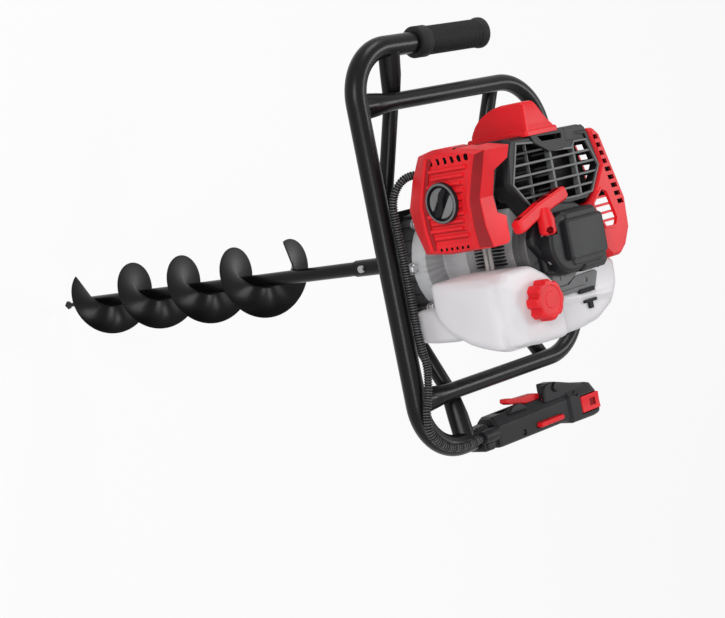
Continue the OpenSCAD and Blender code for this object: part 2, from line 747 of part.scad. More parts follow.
module cylinder_core() {
    translate([deck_x - seat_gap, 0, crank_mid]) rotate([0, -90, 0])
        cylinder(h = -cylinder_top + deck_x, r = bore_d / 2 + 7);
    span([deck_x - 6, -40, crank_mid - 31], [deck_x - seat_gap, 40, crank_mid + 31]);
    for (k = [0 : fin_count - 1]) let (x = deck_x - 10 - k * fin_pitch)
        span([x - fin_t, -fin_half_y, crank_mid - fin_half_z], [x, fin_half_y, crank_mid + fin_half_z]);
}

plug_r = 7;

module cylinder_block() difference() {
    cylinder_core();
    translate([0, 0, crank_mid]) rotate([0, -90, 0]) cylinder(h = -head_x, d = bore_d);
    translate([0, 0, crank_mid]) rotate([0, -90, 0]) cylinder(h = 200, r = plug_r + seat_gap);
}

module cylinder_node() color("#b2b4b6") cylinder_block();

module piston() color("#c6c8ca") difference() {
    translate([piston_pin_x + 15, 0, crank_mid]) rotate([0, -90, 0])
        cylinder(h = 35, d = bore_d - 2 * run_gap);
    translate([piston_pin_x + 16, 0, crank_mid]) rotate([0, -90, 0]) cylinder(h = 28, d = bore_d - 8);
    translate([piston_pin_x, 0, crank_mid]) cylinder(h = bore_d, d = pin_d + 2 * seat_gap, center = true);
}

pin_d = 10;

module connecting_rod() color("#a5a7aa") {
    translate([piston_pin_x, 0, crank_mid]) cylinder(h = bore_d - 4, d = pin_d, center = true);
    translate([piston_pin_x, 0, crank_mid]) cylinder(h = rod_w, d = pin_d + 6, center = true);
    span([piston_pin_x, -5, crank_mid - rod_w / 2], [-crank_r - crankpin_d / 2 - free_gap, 5,
        crank_mid + rod_w / 2]);
}

module spark_plug() color("#d8d9da") translate([head_x + 1, 0, crank_mid]) rotate([0, -90, 0]) {
    cylinder(h = -cylinder_top + head_x + 2, r = plug_r);
    translate([0, 0, -cylinder_top + head_x + 1.2]) cylinder(h = 9, r = 9.5, $fn = 6);
    translate([0, 0, 30]) cylinder(h = 12, r = 5);
}

module plug_cap() color("#131416") translate([-139, 0, crank_mid]) difference() {
    union() {
        rotate([0, -90, 0]) translate([0, 0, -4]) cylinder(h = 15, r = 9);
        translate([-4, 0, 0]) cylinder(h = 20, r = 5);
    }
    rotate([0, -90, 0]) translate([0, 0, -5]) cylinder(h = 6, r = 5 + seat_gap);
}

// Engine shroud with its grille
shroud_top = -124;
shroud_low = -28;
shroud_y0 = -52;
shroud_y1 = 92;
shroud_z0 = 118;
shroud_z1 = 203;
grille_bars = 5;
grille_bar_t = 3;
grille_t = 4;
grille_top = -117;
grille_low = -42;

module shroud_outline(g) {
    polygon([[shroud_top + g, shroud_y0 + 14], [shroud_top + g, shroud_y1 - 10], [shroud_top + 12,
        shroud_y1 - g],
        [-70, shroud_y1 - g], [shroud_low - g, shroud_y1 - 40], [shroud_low - g, shroud_y0 + 30],
        [-66, shroud_y0 + g], [shroud_top + 14, shroud_y0 + g]]);
}

module grille_window() {
    polygon([[grille_top, -34], [grille_top, 82], [-72, 86], [grille_low, 48], [grille_low, -18], [-72,
        -42],
        [grille_top + 9, -42]]);
}

module shroud_shell() difference() {
    translate([0, 0, shroud_z0]) linear_extrude(shroud_z1 - shroud_z0) shroud_outline(0);
    translate([0, 0, shroud_z0 - 1]) linear_extrude(shroud_z1 - shroud_z0 - cover_wall + 1)
        shroud_outline(cover_wall);
    translate([0, 0, shroud_z0]) linear_extrude(shroud_z1) grille_window();
    span([deck_x - 7, -60, shroud_z0 - 1], [0, 60, case_top + 2]);
    span([carb_low - 4, shroud_y0 - 5, carb_z - 20], [carb_high + 4, 0, carb_z + 20]);
    span([-100, 40, crank_mid - 26], [shroud_low, shroud_y1 + 5, crank_mid + 32]);
    translate([shroud_top - 10, 0, crank_mid]) rotate([0, 90, 0]) cylinder(h = 30, r = 14);
}

module grille() intersection() {
    translate([0, 0, shroud_z1 - grille_t]) linear_extrude(grille_t) grille_window();
    union() {
        step = (grille_low - grille_top) / (grille_bars + 1);
        for (k = [1 : grille_bars]) translate([grille_top + k * step, shroud_y0, shroud_z1 - grille_t])
            cube([grille_bar_t, shroud_y1 - shroud_y0, grille_t]);
        for (y = [-12, 22, 56]) translate([shroud_top, y, shroud_z1 - grille_t])
            cube([shroud_low - shroud_top, grille_bar_t, grille_t - 1]);
    }
}

module engine_shroud() color("#26272a") difference() {
    union() {
        shroud_shell();
        grille();
    }
    translate([0, 0, shroud_z0 - 1]) cylinder(h = shroud_z1, r = starter_r + free_gap);
    span([tower_top - free_gap, tower_y0 - free_gap, case_top], [0, tower_y1 + free_gap, shroud_z1 + 1]);
}

// Plug cover on top of the shroud
dome_top = -163;
dome_z0 = 122;
dome_len = 81;

module dome_outline(g) {
    foot = shroud_top - seat_gap;
    polygon([[foot, -18 + g], [foot - 8, -18 + g], [dome_top + 10, -13 + g], [dome_top + g, -5],
        [dome_top + g, 22 - g], [foot - 10, 36 - g], [foot, 38 - g]]);
}

module plug_cover() color("#d3121c") difference() {
    translate([0, 0, dome_z0]) linear_extrude(dome_len) dome_outline(0);
    translate([0, 0, dome_z0 + cover_wall]) linear_extrude(dome_len - 2 * cover_wall)
        dome_outline(cover_wall);
    span([shroud_top - 5, -13, dome_z0 + 8], [shroud_top + 1, 20, dome_z0 + dome_len - 8]);
}

muffler_y = fin_half_y + 0.2;

module muffler() color("#77797c") {
    span([-100, 50, crank_mid - 20], [-40, 86, crank_mid + 29]);
    translate([-70, 86, crank_mid + 5]) rotate([-90, 0, 0]) cylinder(h = 8, r = 8);
    span([-84, muffler_y, crank_mid - 12], [-56, 50, crank_mid + 12]);
}

cover_y0 = shroud_y1 + 0.2;
cover_y1 = 138;
slot_count = 9;

module muffler_outline(g) {
    polygon([[-118 + g, cover_y0 - 1], [-118 + g, 106], [-40, cover_y1 - g], [6, cover_y1 - g],
        [22, 128 - g], [34 - g, 116], [34 - g, cover_y0 - 1]]);
}

module muffler_cover() color("#d3121c") difference() {
    translate([0, 0, shroud_z0]) linear_extrude(shroud_z1 - shroud_z0) muffler_outline(0);
    translate([0, 0, shroud_z0 - 1]) linear_extrude(shroud_z1 - shroud_z0 + 1 - cover_wall)
        muffler_outline(cover_wall);
    span([-130, cover_y0 - 2, shroud_z0 - 1], [40, cover_y0, shroud_z1 + 1]);
    for (k = [0 : slot_count - 1]) translate([-108 + k * 14, 103 + k * 2, crank_mid])
        cube([7, 18, shroud_z1]);
}

// Intake side
carb_low = -90;
carb_high = -58;
carb_z = 154;
base_y = -91.5;
base_t = 3.3;

module carburettor() color("#b8babc") {
    mid = (carb_low + carb_high) / 2;
    span([carb_low, -76, carb_z - 16], [carb_high, -50, carb_z + 16]);
    translate([mid, -50, carb_z]) rotate([-90, 0, 0]) cylinder(h = 50 - fin_half_y - 0.2, r = 14);
    translate([mid, base_y + base_t + seat_gap, carb_z]) rotate([-90, 0, 0])
        cylinder(h = -76 - base_y - base_t, r = 12);
}

choke_place = [-80, -64];

module choke_lever() color("#c9cacc") translate([choke_place[0], choke_place[1], carb_z + 16.1]) {
    cylinder(h = 6, r = 4);
    span([0, -2.5, 2], [16, 2.5, 5]);
}

filter_y = -125;
filter_back = base_y - seat_gap;

module filter_outline(g) {
    polygon([[-131 + g, 134], [-130 + g, 222 - g], [-98, 224 - g], [-86, 215 - g], [-48, 217 - g],
        [-41, 224 - g], [-22, 224 - g], [-17 - g, 218], [-17 - g, 124], [-45, 109 + g], [-70, 107 + g]]);
}

// The filter cover's outline carried along Y
module filter_block(g, y, depth) {
    translate([0, y, 0]) multmatrix([[1, 0, 0, 0], [0, 0, 1, 0], [0, 1, 0, 0]])
        linear_extrude(depth) filter_outline(g);
}

knob_x = -72;
knob_z = 163;
stud_r = 4;

module filter_cover() color("#d3121c") difference() {
    filter_block(0, filter_y, filter_back - filter_y);
    filter_block(cover_wall, filter_y + cover_wall, 80);
    translate([knob_x, filter_y - 1, knob_z]) rotate([-90, 0, 0]) cylinder(h = 10, r = stud_r + 0.3);
}

module filter_base() color("#1e1f22") difference() {
    span([-124, base_y, 124], [-24, base_y + base_t, 212]);
    translate([(carb_low + carb_high) / 2, base_y - 1, carb_z]) rotate([-90, 0, 0])
        cylinder(h = 10, r = 10);
}

module filter_element() color("#3c3f45") span([-116, -112, 136], [-30, base_y - 0.2, 160]);

module filter_knob() color("#2a2b2e") translate([knob_x, filter_y, knob_z]) rotate([90, 0, 0]) {
    translate([0, 0, 0.3]) cylinder(h = 7, d = knob_d);
    translate([0, 0, -10]) cylinder(h = 10.4, r = stud_r);
}

// Recoil starter
step_z = 24;
tower_top = -38;
tower_low = 26;
tower_y0 = 6;
tower_y1 = 56;
post_r = 6;
post_len = starter_h - 6 - crank_nose - 1;

module starter_housing() color("#2b2d30") {
    difference() {
        union() {
            translate([0, 0, starter_z]) cylinder(h = step_z, r = starter_r);
            translate([0, 0, starter_z + step_z]) cylinder(h = starter_h - step_z, r = pulley_r + 9);
            span([tower_top, tower_y0, starter_z + step_z - 4], [tower_low, tower_y1, starter_face + 3]);
        }
        translate([0, 0, starter_z - 1]) cylinder(h = step_z - 2, r = flywheel_r + 1.5);
        translate([0, 0, starter_z + 3]) cylinder(h = starter_h - 9, r = pulley_r + 5);
        translate([-80, -pulley_r, rope_z]) rotate([0, 90, 0]) cylinder(h = 80, r = rope_d / 2 + 0.6);
        span([-80, -40, starter_z - 1], [-40, 40, starter_z + step_z - 3]);
    }
    translate([0, 0, starter_face - 6 - post_len]) cylinder(h = post_len + 1, r = post_r);
}

pulley_h = 10;

module starter_pulley() color("#cfd0d2") translate([0, 0, rope_z - pulley_h / 2]) difference() {
    union() {
        cylinder(h = 2.5, r = pulley_r + 4);
        translate([0, 0, pulley_h - 2.5]) cylinder(h = 2.5, r = pulley_r + 4);
        cylinder(h = pulley_h, r = pulley_r - rope_d / 2 - 0.3);
    }
    translate([0, 0, -1]) cylinder(h = pulley_h + 2, r = post_r + run_gap);
}

spring_h = 5;

module recoil_spring() color("#8d8f92") translate([0, 0, rope_z - pulley_h / 2 - spring_h - 0.4])
    ring(24, post_r + seat_gap, spring_h);

handle_r = 8;
handle_x = -42;
handle_tilt = 17;
handle_stem = 9;
rope_len = 56;

module starter_handle() color("#d3121c") translate([handle_x, -pulley_r, rope_z]) {
    rotate(handle_tilt) translate([0, -handle_len / 2, 0]) rotate([-90, 0, 0])
        cylinder(h = handle_len, r = handle_r);
    rotate([0, 90, 0]) cylinder(h = handle_stem, r1 = 9, r2 = 7);
    rotate([0, 90, 0]) cylinder(h = rope_len, r = rope_d / 2);
}

// Fuel tank, hollowed under the engine, with a raised part that carries the filler neck
tank_z0 = case_z + 1;
tank_z1 = 196;
raised_z1 = 214;
raised_y = -16;
tank_clear = starter_r + free_gap;
cap_place = [54, -60];
neck_r = 15;
neck_h = 9;
neck_bore = 12;

module tank_outline(g) {
    difference() {
        polygon([[14 + g, -98], [28, -112 + g], [80, -112 + g], [100 - g, -84], [104 - g, -30], [102 - g,
            54],
            [84, 92 - g], [60, 104 - g], [38, 104 - g], [36 + g, 88], [24 + g, 74], [24 + g, -40],
                [14 + g, -58]]);
        circle(tank_clear + g);
    }
}

module raised_outline(g) {
    intersection() {
        tank_outline(g);
        translate([-20, -200]) square([200, 200 + raised_y - g]);
    }
}

module fuel_tank() color("#e9e9ec") difference() {
    union() {
        translate([0, 0, tank_z0]) linear_extrude(tank_z1 - tank_z0) tank_outline(0);
        translate([0, 0, tank_z0]) linear_extrude(raised_z1 - tank_z0) raised_outline(0);
        translate([cap_place[0], cap_place[1], raised_z1 - 1]) cylinder(h = neck_h, r = neck_r);
    }
    translate([0, 0, tank_z0 + tank_wall]) linear_extrude(tank_z1 - tank_z0 - 2 * tank_wall)
        tank_outline(tank_wall);
    translate([0, 0, tank_z0 + tank_wall]) linear_extrude(raised_z1 - tank_z0 - 2 * tank_wall)
        raised_outline(tank_wall);
    translate([cap_place[0], cap_place[1], raised_z1 - 10]) cylinder(h = 30, r = neck_bore);
}

cap_h = 18;
cap_lobes = 8;

module fuel_cap() color("#d3121c") translate([cap_place[0], cap_place[1], raised_z1 + 0.5]) difference() {
    union() {
        cylinder(h = cap_h, d = cap_d - 5);
        for (k = [0 : cap_lobes - 1]) rotate(360 * k / cap_lobes) translate([cap_d / 2 - 4, 0, 0])
            cylinder(h = cap_h, r = 4);
    }
    translate([0, 0, -1]) cylinder(h = neck_h + 1.5, r = neck_r + free_gap);
}

module tank_bracket() color("#8b8d90")
    span([starter_r + seat_gap, -4, tank_z1 + seat_gap], [88, 44, tank_z1 + 3]);

line_r = 2.5;
line_y = -66;

module fuel_lines() color("#c9c17a") translate([14 - seat_gap, line_y, carb_z]) rotate([0, -90, 0])
    cylinder(h = 14 - carb_high - 2 * seat_gap, r = line_r);

handlebar();
hoop();
hoop_sleeves();
front_braces();
rear_arms();
mount_plate();
plate_bolts();
foam_grip();
throttle_shell_front();
throttle_shell_back();
throttle_trigger();
throttle_lock();
stop_switch();
throttle_conduit();
gearbox_base();
gearbox_cover();
gear_bearings();
output_seal();
output_gear();
output_shaft();
auger_tube();
auger_flight();
auger_point();
coupling_bolt();
idler_gear();
pinion_shaft();
clutch_drum();
clutch_shoes();
clutch_housing();
crankcase_front();
crankcase_rear();
crank_bearings();
crankshaft();
flywheel();
ignition_coil();
cylinder_node();  // cylinder
piston();
connecting_rod();
spark_plug();
plug_cap();
plug_cover();
engine_shroud();
muffler();
muffler_cover();
carburettor();
choke_lever();
filter_base();
filter_element();
filter_cover();
filter_knob();
starter_housing();
starter_pulley();
recoil_spring();
starter_handle();
fuel_tank();
fuel_cap();
tank_bracket();
fuel_lines();
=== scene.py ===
import json
import math

import bmesh
import bpy
import numpy as np
from mathutils import Matrix, Vector


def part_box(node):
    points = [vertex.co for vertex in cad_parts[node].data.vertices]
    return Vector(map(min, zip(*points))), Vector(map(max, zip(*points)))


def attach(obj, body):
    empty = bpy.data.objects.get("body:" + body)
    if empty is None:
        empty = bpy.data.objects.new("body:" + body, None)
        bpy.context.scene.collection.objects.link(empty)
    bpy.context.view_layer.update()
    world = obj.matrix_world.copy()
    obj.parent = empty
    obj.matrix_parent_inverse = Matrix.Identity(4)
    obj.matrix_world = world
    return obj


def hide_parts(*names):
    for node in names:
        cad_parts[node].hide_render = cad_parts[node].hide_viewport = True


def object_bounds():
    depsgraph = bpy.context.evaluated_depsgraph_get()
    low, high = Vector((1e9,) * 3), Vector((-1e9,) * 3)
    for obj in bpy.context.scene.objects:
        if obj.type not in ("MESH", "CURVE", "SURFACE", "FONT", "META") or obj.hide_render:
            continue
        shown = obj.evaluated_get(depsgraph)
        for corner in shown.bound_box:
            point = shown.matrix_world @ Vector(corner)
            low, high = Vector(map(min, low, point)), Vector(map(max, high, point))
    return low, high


bl_info = {
    "name": "Earth auger",
    "version": (1, 0, 0),
    "blender": (4, 5, 0),
    "location": "View3D > Sidebar > Earth auger",
    "description": "Dresses the packed earth auger with its covers, grips, cable sleeve and finishes",
    "category": "Object",
}

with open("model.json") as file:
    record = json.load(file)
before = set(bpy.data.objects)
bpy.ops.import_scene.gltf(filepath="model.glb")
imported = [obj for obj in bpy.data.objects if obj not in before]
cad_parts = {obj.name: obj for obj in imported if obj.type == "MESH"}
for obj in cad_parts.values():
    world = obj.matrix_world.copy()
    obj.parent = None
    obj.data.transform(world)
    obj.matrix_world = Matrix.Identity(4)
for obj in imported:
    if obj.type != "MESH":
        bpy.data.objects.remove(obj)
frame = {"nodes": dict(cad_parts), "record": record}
CAD_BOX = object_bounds()
MM = 0.001
NODES = frame["nodes"]


# Modelling helpers. Points are given in millimetres, in the object's own frame.

def deselect():
    if bpy.context.object and bpy.context.object.mode != "OBJECT":
        bpy.ops.object.mode_set(mode="OBJECT")
    bpy.ops.object.select_all(action="DESELECT")


def only(obj):
    deselect()
    obj.select_set(True)
    bpy.context.view_layer.objects.active = obj


def loft(name, rings):
    """A closed solid through rings of points: a filled circle that is extruded from ring to ring."""
    deselect()
    bpy.ops.mesh.primitive_circle_add(vertices=len(rings[0]), radius=0.1, fill_type="NGON")
    obj = bpy.context.object
    obj.name = name
    for v, p in zip(obj.data.vertices, rings[0]):
        v.co = Vector(p) * MM
    bpy.ops.object.mode_set(mode="EDIT")
    bpy.ops.mesh.select_all(action="SELECT")
    for before, after in zip(rings, rings[1:]):
        bpy.ops.mesh.extrude_region_move()
        mesh = bmesh.from_edit_mesh(obj.data)
        new = [v for v in mesh.verts if v.select]
        here = np.array([v.co for v in new]) / MM
        nearest = np.linalg.norm(here[:, None, :] - np.array(before)[None, :, :], axis=2).argmin(axis=1)
        for v, k in zip(new, nearest):
            v.co = Vector(after[k]) * MM
        bmesh.update_edit_mesh(obj.data)
    bpy.ops.mesh.select_all(action="SELECT")
    bpy.ops.mesh.normals_make_consistent(inside=False)
    bpy.ops.object.mode_set(mode="OBJECT")
    return obj


def sheet_grid(name, along, around, place):
    """A grid whose points are placed by a function of its two parameters, both from 0 to 1."""
    deselect()
    bpy.ops.mesh.primitive_grid_add(x_subdivisions=along, y_subdivisions=around, size=2)
    obj = bpy.context.object
    obj.name = name
    flat = np.zeros(len(obj.data.vertices) * 3)
    obj.data.vertices.foreach_get("co", flat)
    flat = flat.reshape(-1, 3)
    points = place((flat[:, 0] + 1) / 2, (flat[:, 1] + 1) / 2)
    obj.data.vertices.foreach_set("co", (points * MM).ravel())
    obj.data.update()
    bpy.ops.object.mode_set(mode="EDIT")
    bpy.ops.mesh.select_all(action="SELECT")
    bpy.ops.mesh.remove_doubles(threshold=1e-6)
    bpy.ops.mesh.select_all(action="DESELECT")
    bpy.ops.mesh.select_non_manifold(
        extend=False, use_wire=False, use_multi_face=False, use_non_contiguous=False, use_verts=False)
    if any(e.select for e in bmesh.from_edit_mesh(obj.data).edges):
        bpy.ops.mesh.fill_holes(sides=0)
    bpy.ops.mesh.select_all(action="SELECT")
    bpy.ops.mesh.normals_make_consistent(inside=False)
    bpy.ops.object.mode_set(mode="OBJECT")
    return obj


def stack(name, normal, *layers):
    """A loft through outlines, each with its level along the axis that they are square to."""
    def at(p, level):
        return {"X": (level, p[0], p[1]), "Y": (p[0], level, p[1]), "Z": (p[0], p[1], level)}[normal]
    return loft(name, [[at(p, level) for p in outline] for outline, level in layers])


def prism(name, outline, low, high, normal="Z"):
    """An outline carried along one axis. The outline's own axes are the other two, in X, Y, Z order."""
    return stack(name, normal, (outline, low), (outline, high))


def block(name, low, high):
    outline = [(low[0], low[1]), (high[0], low[1]), (high[0], high[1]), (low[0], high[1])]
    return prism(name, outline, low[2], high[2])


def full_turn(count):
    return [2 * math.pi * i / count for i in range(count)]


def turned(name, profile, centre=(0, 0, 0), axis=(0, 0, 1), count=64):
    """A solid of revolution. The profile is a list of (distance along the axis, radius)."""
    a = Vector(axis).normalized()
    u = a.orthogonal().normalized()
    w = a.cross(u)
    def ring(t, r):
        return [Vector(centre) + a * t + (u * math.cos(k) + w * math.sin(k)) * r for k in full_turn(count)]
    return loft(name, [ring(t, r) for t, r in profile])


def drum(name, radius, low, high, centre=(0, 0, 0), axis=(0, 0, 1), count=64):
    return turned(name, [(low, radius), (high, radius)], centre, axis, count)


def rounded(width, height, radius, steps=4, centre=(0, 0)):
    """A rounded rectangle about its middle."""
    points = []
    for quarter, (sx, sy) in enumerate(((1, 1), (-1, 1), (-1, -1), (1, -1))):
        for k in range(steps + 1):
            a = math.pi / 2 * (quarter + k / steps)
            points.append(
                (centre[0] + sx * (width / 2 - radius) + radius * math.cos(a),
                    centre[1] + sy * (height / 2 - radius) + radius * math.sin(a)))
    return points


def tapered(name, normal, *levels, steps=4):
    """A loft through rounded rectangles, each given by width, height, corner radius, middle and level."""
    return stack(
        name, normal, *[(rounded(w, h, r, steps, middle), level) for w, h, r, middle, level in levels])


def offset(outline, distance):
    """The outline with each edge moved outwards by the distance, or inwards where it is negative."""
    following = list(outline[1:]) + [outline[0]]
    area = sum(a[0] * b[1] - b[0] * a[1] for a, b in zip(outline, following))
    sign = 1 if area > 0 else -1
    moved = []
    for i, (p, q) in enumerate(zip(outline, following)):
        before = Vector(p) - Vector(outline[i - 1])
        after = Vector(q) - Vector(p)
        first = Vector((before.y, -before.x)).normalized() * sign
        second = Vector((after.y, -after.x)).normalized() * sign
        middle = (first + second).normalized()
        reach = distance / max(0.4, middle.dot(first))
        moved.append((p[0] + middle.x * reach, p[1] + middle.y * reach))
    return moved


def span_across(outline, value, axis):
    """Where a line at one value of an axis enters and leaves an outline, along the other axis."""
    other = 1 - axis
    hits = []
    for p, q in zip(outline, list(outline[1:]) + [outline[0]]):
        if (p[axis] - value) * (q[axis] - value) < 0:
            t = (value - p[axis]) / (q[axis] - p[axis])
            hits.append(p[other] + t * (q[other] - p[other]))
    return min(hits), max(hits)


def apply_modifier(obj, kind, **settings):
    only(obj)
    modifier = obj.modifiers.new(kind.title(), kind)
    for key, value in settings.items():
        setattr(modifier, key, value)
    bpy.ops.object.modifier_apply(modifier=modifier.name)
    return obj


def soften(obj, width, segments=3, angle=35):
    """Rounds the edges that are sharper than the angle."""
    return apply_modifier(
        obj, "BEVEL", width=width * MM, segments=segments, limit_method="ANGLE",
        angle_limit=math.radians(angle), harden_normals=False)


def paint(obj, *finishes):
    for finish in finishes:
        obj.data.materials.append(finish)
    return obj


def paint_second(obj, chosen):
    """Gives the second finish to the faces that the test picks."""
    for side in obj.data.polygons:
        if chosen(side):
            side.material_index = 1


def carve(obj, *cutters, finish=None):
    for cutter in cutters:
        if finish:
            paint(cutter, finish)
        apply_modifier(
            obj, "BOOLEAN", operation="DIFFERENCE", object=cutter, solver="EXACT",
            material_mode="TRANSFER" if finish else "INDEX")
        bpy.data.objects.remove(cutter)
    if not obj.data.polygons:
        raise RuntimeError(f"{obj.name} has no faces left")
    return obj


def join(name, pieces):
    deselect()
    for piece in pieces:
        piece.select_set(True)
    bpy.context.view_layer.objects.active = pieces[0]
    bpy.ops.object.join()
    pieces[0].name = name
    return pieces[0]


def dress(obj, slot, *nodes, finish=None, body="frame", smooth=40):
    """Gives a finished piece its material and the body it rides on, and hides the solids it stands for."""
    finish = finish or FINISH[slot]
    if not obj.data.materials:
        paint(obj, finish)
    for index, given in enumerate(obj.data.materials):
        if given is None:
            obj.data.materials[index] = finish
    only(obj)
    bpy.ops.object.shade_smooth_by_angle(angle=math.radians(smooth))
    if smooth < 50:
        apply_modifier(obj, "WEIGHTED_NORMAL", keep_sharp=True)
    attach(obj, body)
    if nodes:
        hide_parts(*nodes)
    return obj


# Finishes

class Tone:
    """A socket of a finish, with the arithmetic that the finishes use."""

    def __init__(self, finish, socket):
        self.finish = finish
        self.socket = socket

    def math(self, operation, first, second):
        return self.finish.node("ShaderNodeMath", {"operation": operation}, {0: first, 1: second}, "Value")

    def __add__(self, other):
        return self.math("ADD", self, other)

    __radd__ = __add__

    def __sub__(self, other):
        return self.math("SUBTRACT", self, other)

    def __rsub__(self, other):
        return self.math("SUBTRACT", other, self)

    def __mul__(self, other):
        return self.math("MULTIPLY", self, other)

    __rmul__ = __mul__


class Finish:
    """The nodes round one shader, and the one method that adds every other node."""

    def __init__(self, tree, shader):
        self.tree = tree
        self.shader = tree.nodes[shader]

    def feed(self, node, inputs):
        for key, value in inputs.items():
            if isinstance(value, Tone):
                self.tree.links.new(value.socket, node.inputs[key])
            else:
                node.inputs[key].default_value = value

    def node(self, kind, settings, inputs, output=0):
        made = self.tree.nodes.new(kind)
        for key, value in settings.items():
            setattr(made, key, value)
        self.feed(made, inputs)
        return Tone(self, made.outputs[output])

    def show(self, **sockets):
        self.feed(self.shader, {key.replace("_", " "): value for key, value in sockets.items()})

    def place(self):
        return self.node("ShaderNodeTexCoord", {}, {}, "Object")

    def noise(self, scale, detail=3.0, rough=0.55):
        return self.node(
            "ShaderNodeTexNoise", {}, {"Vector": self.place(), "Scale": scale, "Detail": detail,
                "Roughness": rough})

    def cells(self, scale):
        return self.node(
            "ShaderNodeTexVoronoi", {"feature": "F1"}, {"Vector": self.place(), "Scale": scale})

    def blend(self, factor, first, second):
        return self.node("ShaderNodeMix", {"data_type": "RGBA"}, {0: factor, 6: first, 7: second}, 2)

    def ramp(self, value, low, high):
        return self.node("ShaderNodeMapRange", {}, {"Value": value, "From Min": low, "From Max": high})

    def bump(self, height, strength, distance):
        return self.node(
            "ShaderNodeBump", {}, {"Height": height, "Strength": strength, "Distance": distance})

    def worn(self, low=0.53, high=0.6):
        """Where an edge stands out, from the mesh's own curvature."""
        return self.ramp(self.node("ShaderNodeNewGeometry", {}, {}, "Pointiness"), low, high)

    def seen(self):
        """One where the eye, a mirror or a glass looks straight at this surface."""
        rays = [
            self.node("ShaderNodeLightPath", {}, {}, f"Is {ray} Ray") for ray in ("Camera", "Glossy",
                "Transmission")]
        return rays[0] + rays[1] + rays[2]

    def close(self, factor, second, output):
        """Mixes the shader with a second one and sends the mix to the output."""
        mixed = self.node(
            "ShaderNodeMixShader", {}, {0: factor, 1: Tone(self, self.shader.outputs[0]), 2: second})
        self.feed(self.tree.nodes[output], {"Surface": mixed})


def new_finish(name, **sockets):
    material = bpy.data.materials.new(name)
    material.use_nodes = True
    finish = Finish(material.node_tree, "Principled BSDF")
    finish.show(**sockets)
    return material, finish


def rgba(colour, times=1.0, plus=0.0):
    return (*[min(1.0, c * times + plus) for c in colour], 1.0)


def paint_finish(name, colour, roughness, scuffs, specular):
    """Stoved paint on steel: orange peel, dust in patches and a little wear on the edges."""
    material, f = new_finish(name, IOR=1.5, Specular_IOR_Level=specular)
    cloud = f.noise(14.0, 4.0)
    speck = f.ramp(f.noise(320.0, 2.0), 0.62, 0.78)
    base = f.blend(cloud, rgba(colour), rgba(colour, 1.8, 0.001))
    base = f.blend(f.worn() * scuffs, base, rgba((0.10, 0.10, 0.105)))
    f.show(
        Base_Color=base, Roughness=roughness + cloud * 0.10 + speck * 0.08,
        Normal=f.bump(f.noise(900.0, 2.0), 0.08, 0.0004))
    return material


def moulded_finish(name, colour, roughness, grain, specular=0.4, dark=0.85, edge=1.5):
    """Moulded plastic: a fine spark-eroded grain, faint flow clouds and paler edges."""
    material, f = new_finish(name, IOR=1.48, Specular_IOR_Level=specular)
    fine = f.noise(grain, 2.0)
    cloud = f.noise(22.0, 3.0)
    base = f.blend(f.ramp(cloud, 0.35, 0.7), rgba(colour), rgba(colour, dark))
    base = f.blend(f.worn() * 0.3, base, rgba(colour, edge, 0.012))
    f.show(
        Base_Color=base, Roughness=roughness + fine * 0.10 + cloud * 0.06,
        Normal=f.bump(fine, 0.22, 0.0003))
    return material


def cast_finish(name, colour, roughness, metal):
    """Sand-cast alloy: pitted grain, oil stain in patches and bright edges."""
    material, f = new_finish(name, Metallic=metal)
    grit = f.noise(520.0, 4.0, 0.7)
    base = f.blend(f.ramp(f.noise(26.0, 5.0), 0.42, 0.75), rgba(colour), rgba(colour, 0.66))
    base = f.blend(f.worn() * 0.6, base, rgba((0.75, 0.76, 0.77)))
    f.show(Base_Color=base, Roughness=roughness + grit * 0.16, Normal=f.bump(grit, 0.35, 0.0005))
    return material


def machined_finish(name, colour, roughness):
    """Turned steel: fine rings of tool marks about the drive axis and a thin oil film."""
    material, f = new_finish(name, Metallic=1.0)
    marks = f.node(
        "ShaderNodeTexWave", {"wave_type": "BANDS", "bands_direction": "Z"},
        {"Vector": f.place(), "Scale": 420.0, "Distortion": 1.2, "Detail": 2.0}, 1)
    film = f.noise(34.0, 3.0)
    f.show(
        Base_Color=f.blend(film * 0.5, rgba(colour), rgba(colour, 0.7)), Roughness=roughness + film * 0.15,
        Normal=f.bump(marks, 0.08, 0.0002))
    return material


def rubber_finish(name, colour, grain):
    """Grip rubber: matt, with a pebbled skin and a dusty bloom."""
    material, f = new_finish(name, IOR=1.45, Specular_IOR_Level=0.3)
    bloom = f.noise(40.0, 4.0)
    base = f.blend(f.ramp(bloom, 0.4, 0.75) * 0.6, rgba(colour), rgba(colour, 2.0, 0.003))
    f.show(Base_Color=base, Roughness=0.58 + bloom * 0.16, Normal=f.bump(f.cells(grain), 0.30, 0.0004))
    return material


def tank_finish(name):
    """Milky blow-moulded tank: light goes a little way in, with faint waves in the wall."""
    material, f = new_finish(
        name, IOR=1.5, Specular_IOR_Level=0.35, Subsurface_Weight=0.25, Subsurface_Scale=0.012,
        Subsurface_Radius=(1.0, 0.95, 0.92))
    wave = f.noise(9.0, 2.0)
    base = f.blend(f.ramp(wave, 0.3, 0.75), rgba((0.74, 0.725, 0.745)), rgba((0.66, 0.645, 0.67)))
    f.show(Base_Color=base, Roughness=0.38 + f.noise(260.0, 2.0) * 0.12, Normal=f.bump(wave, 0.10, 0.003))
    return material


def foam_finish(name):
    """Open foam: dark cells with paler walls."""
    material, f = new_finish(name, IOR=1.3)
    cells = f.cells(700.0)
    f.show(
        Base_Color=f.blend(cells, rgba((0.03, 0.033, 0.036)), rgba((0.09, 0.095, 0.1))),
        Roughness=0.85 + cells * 0.1, Normal=f.bump(cells, 0.6, 0.001))
    return material


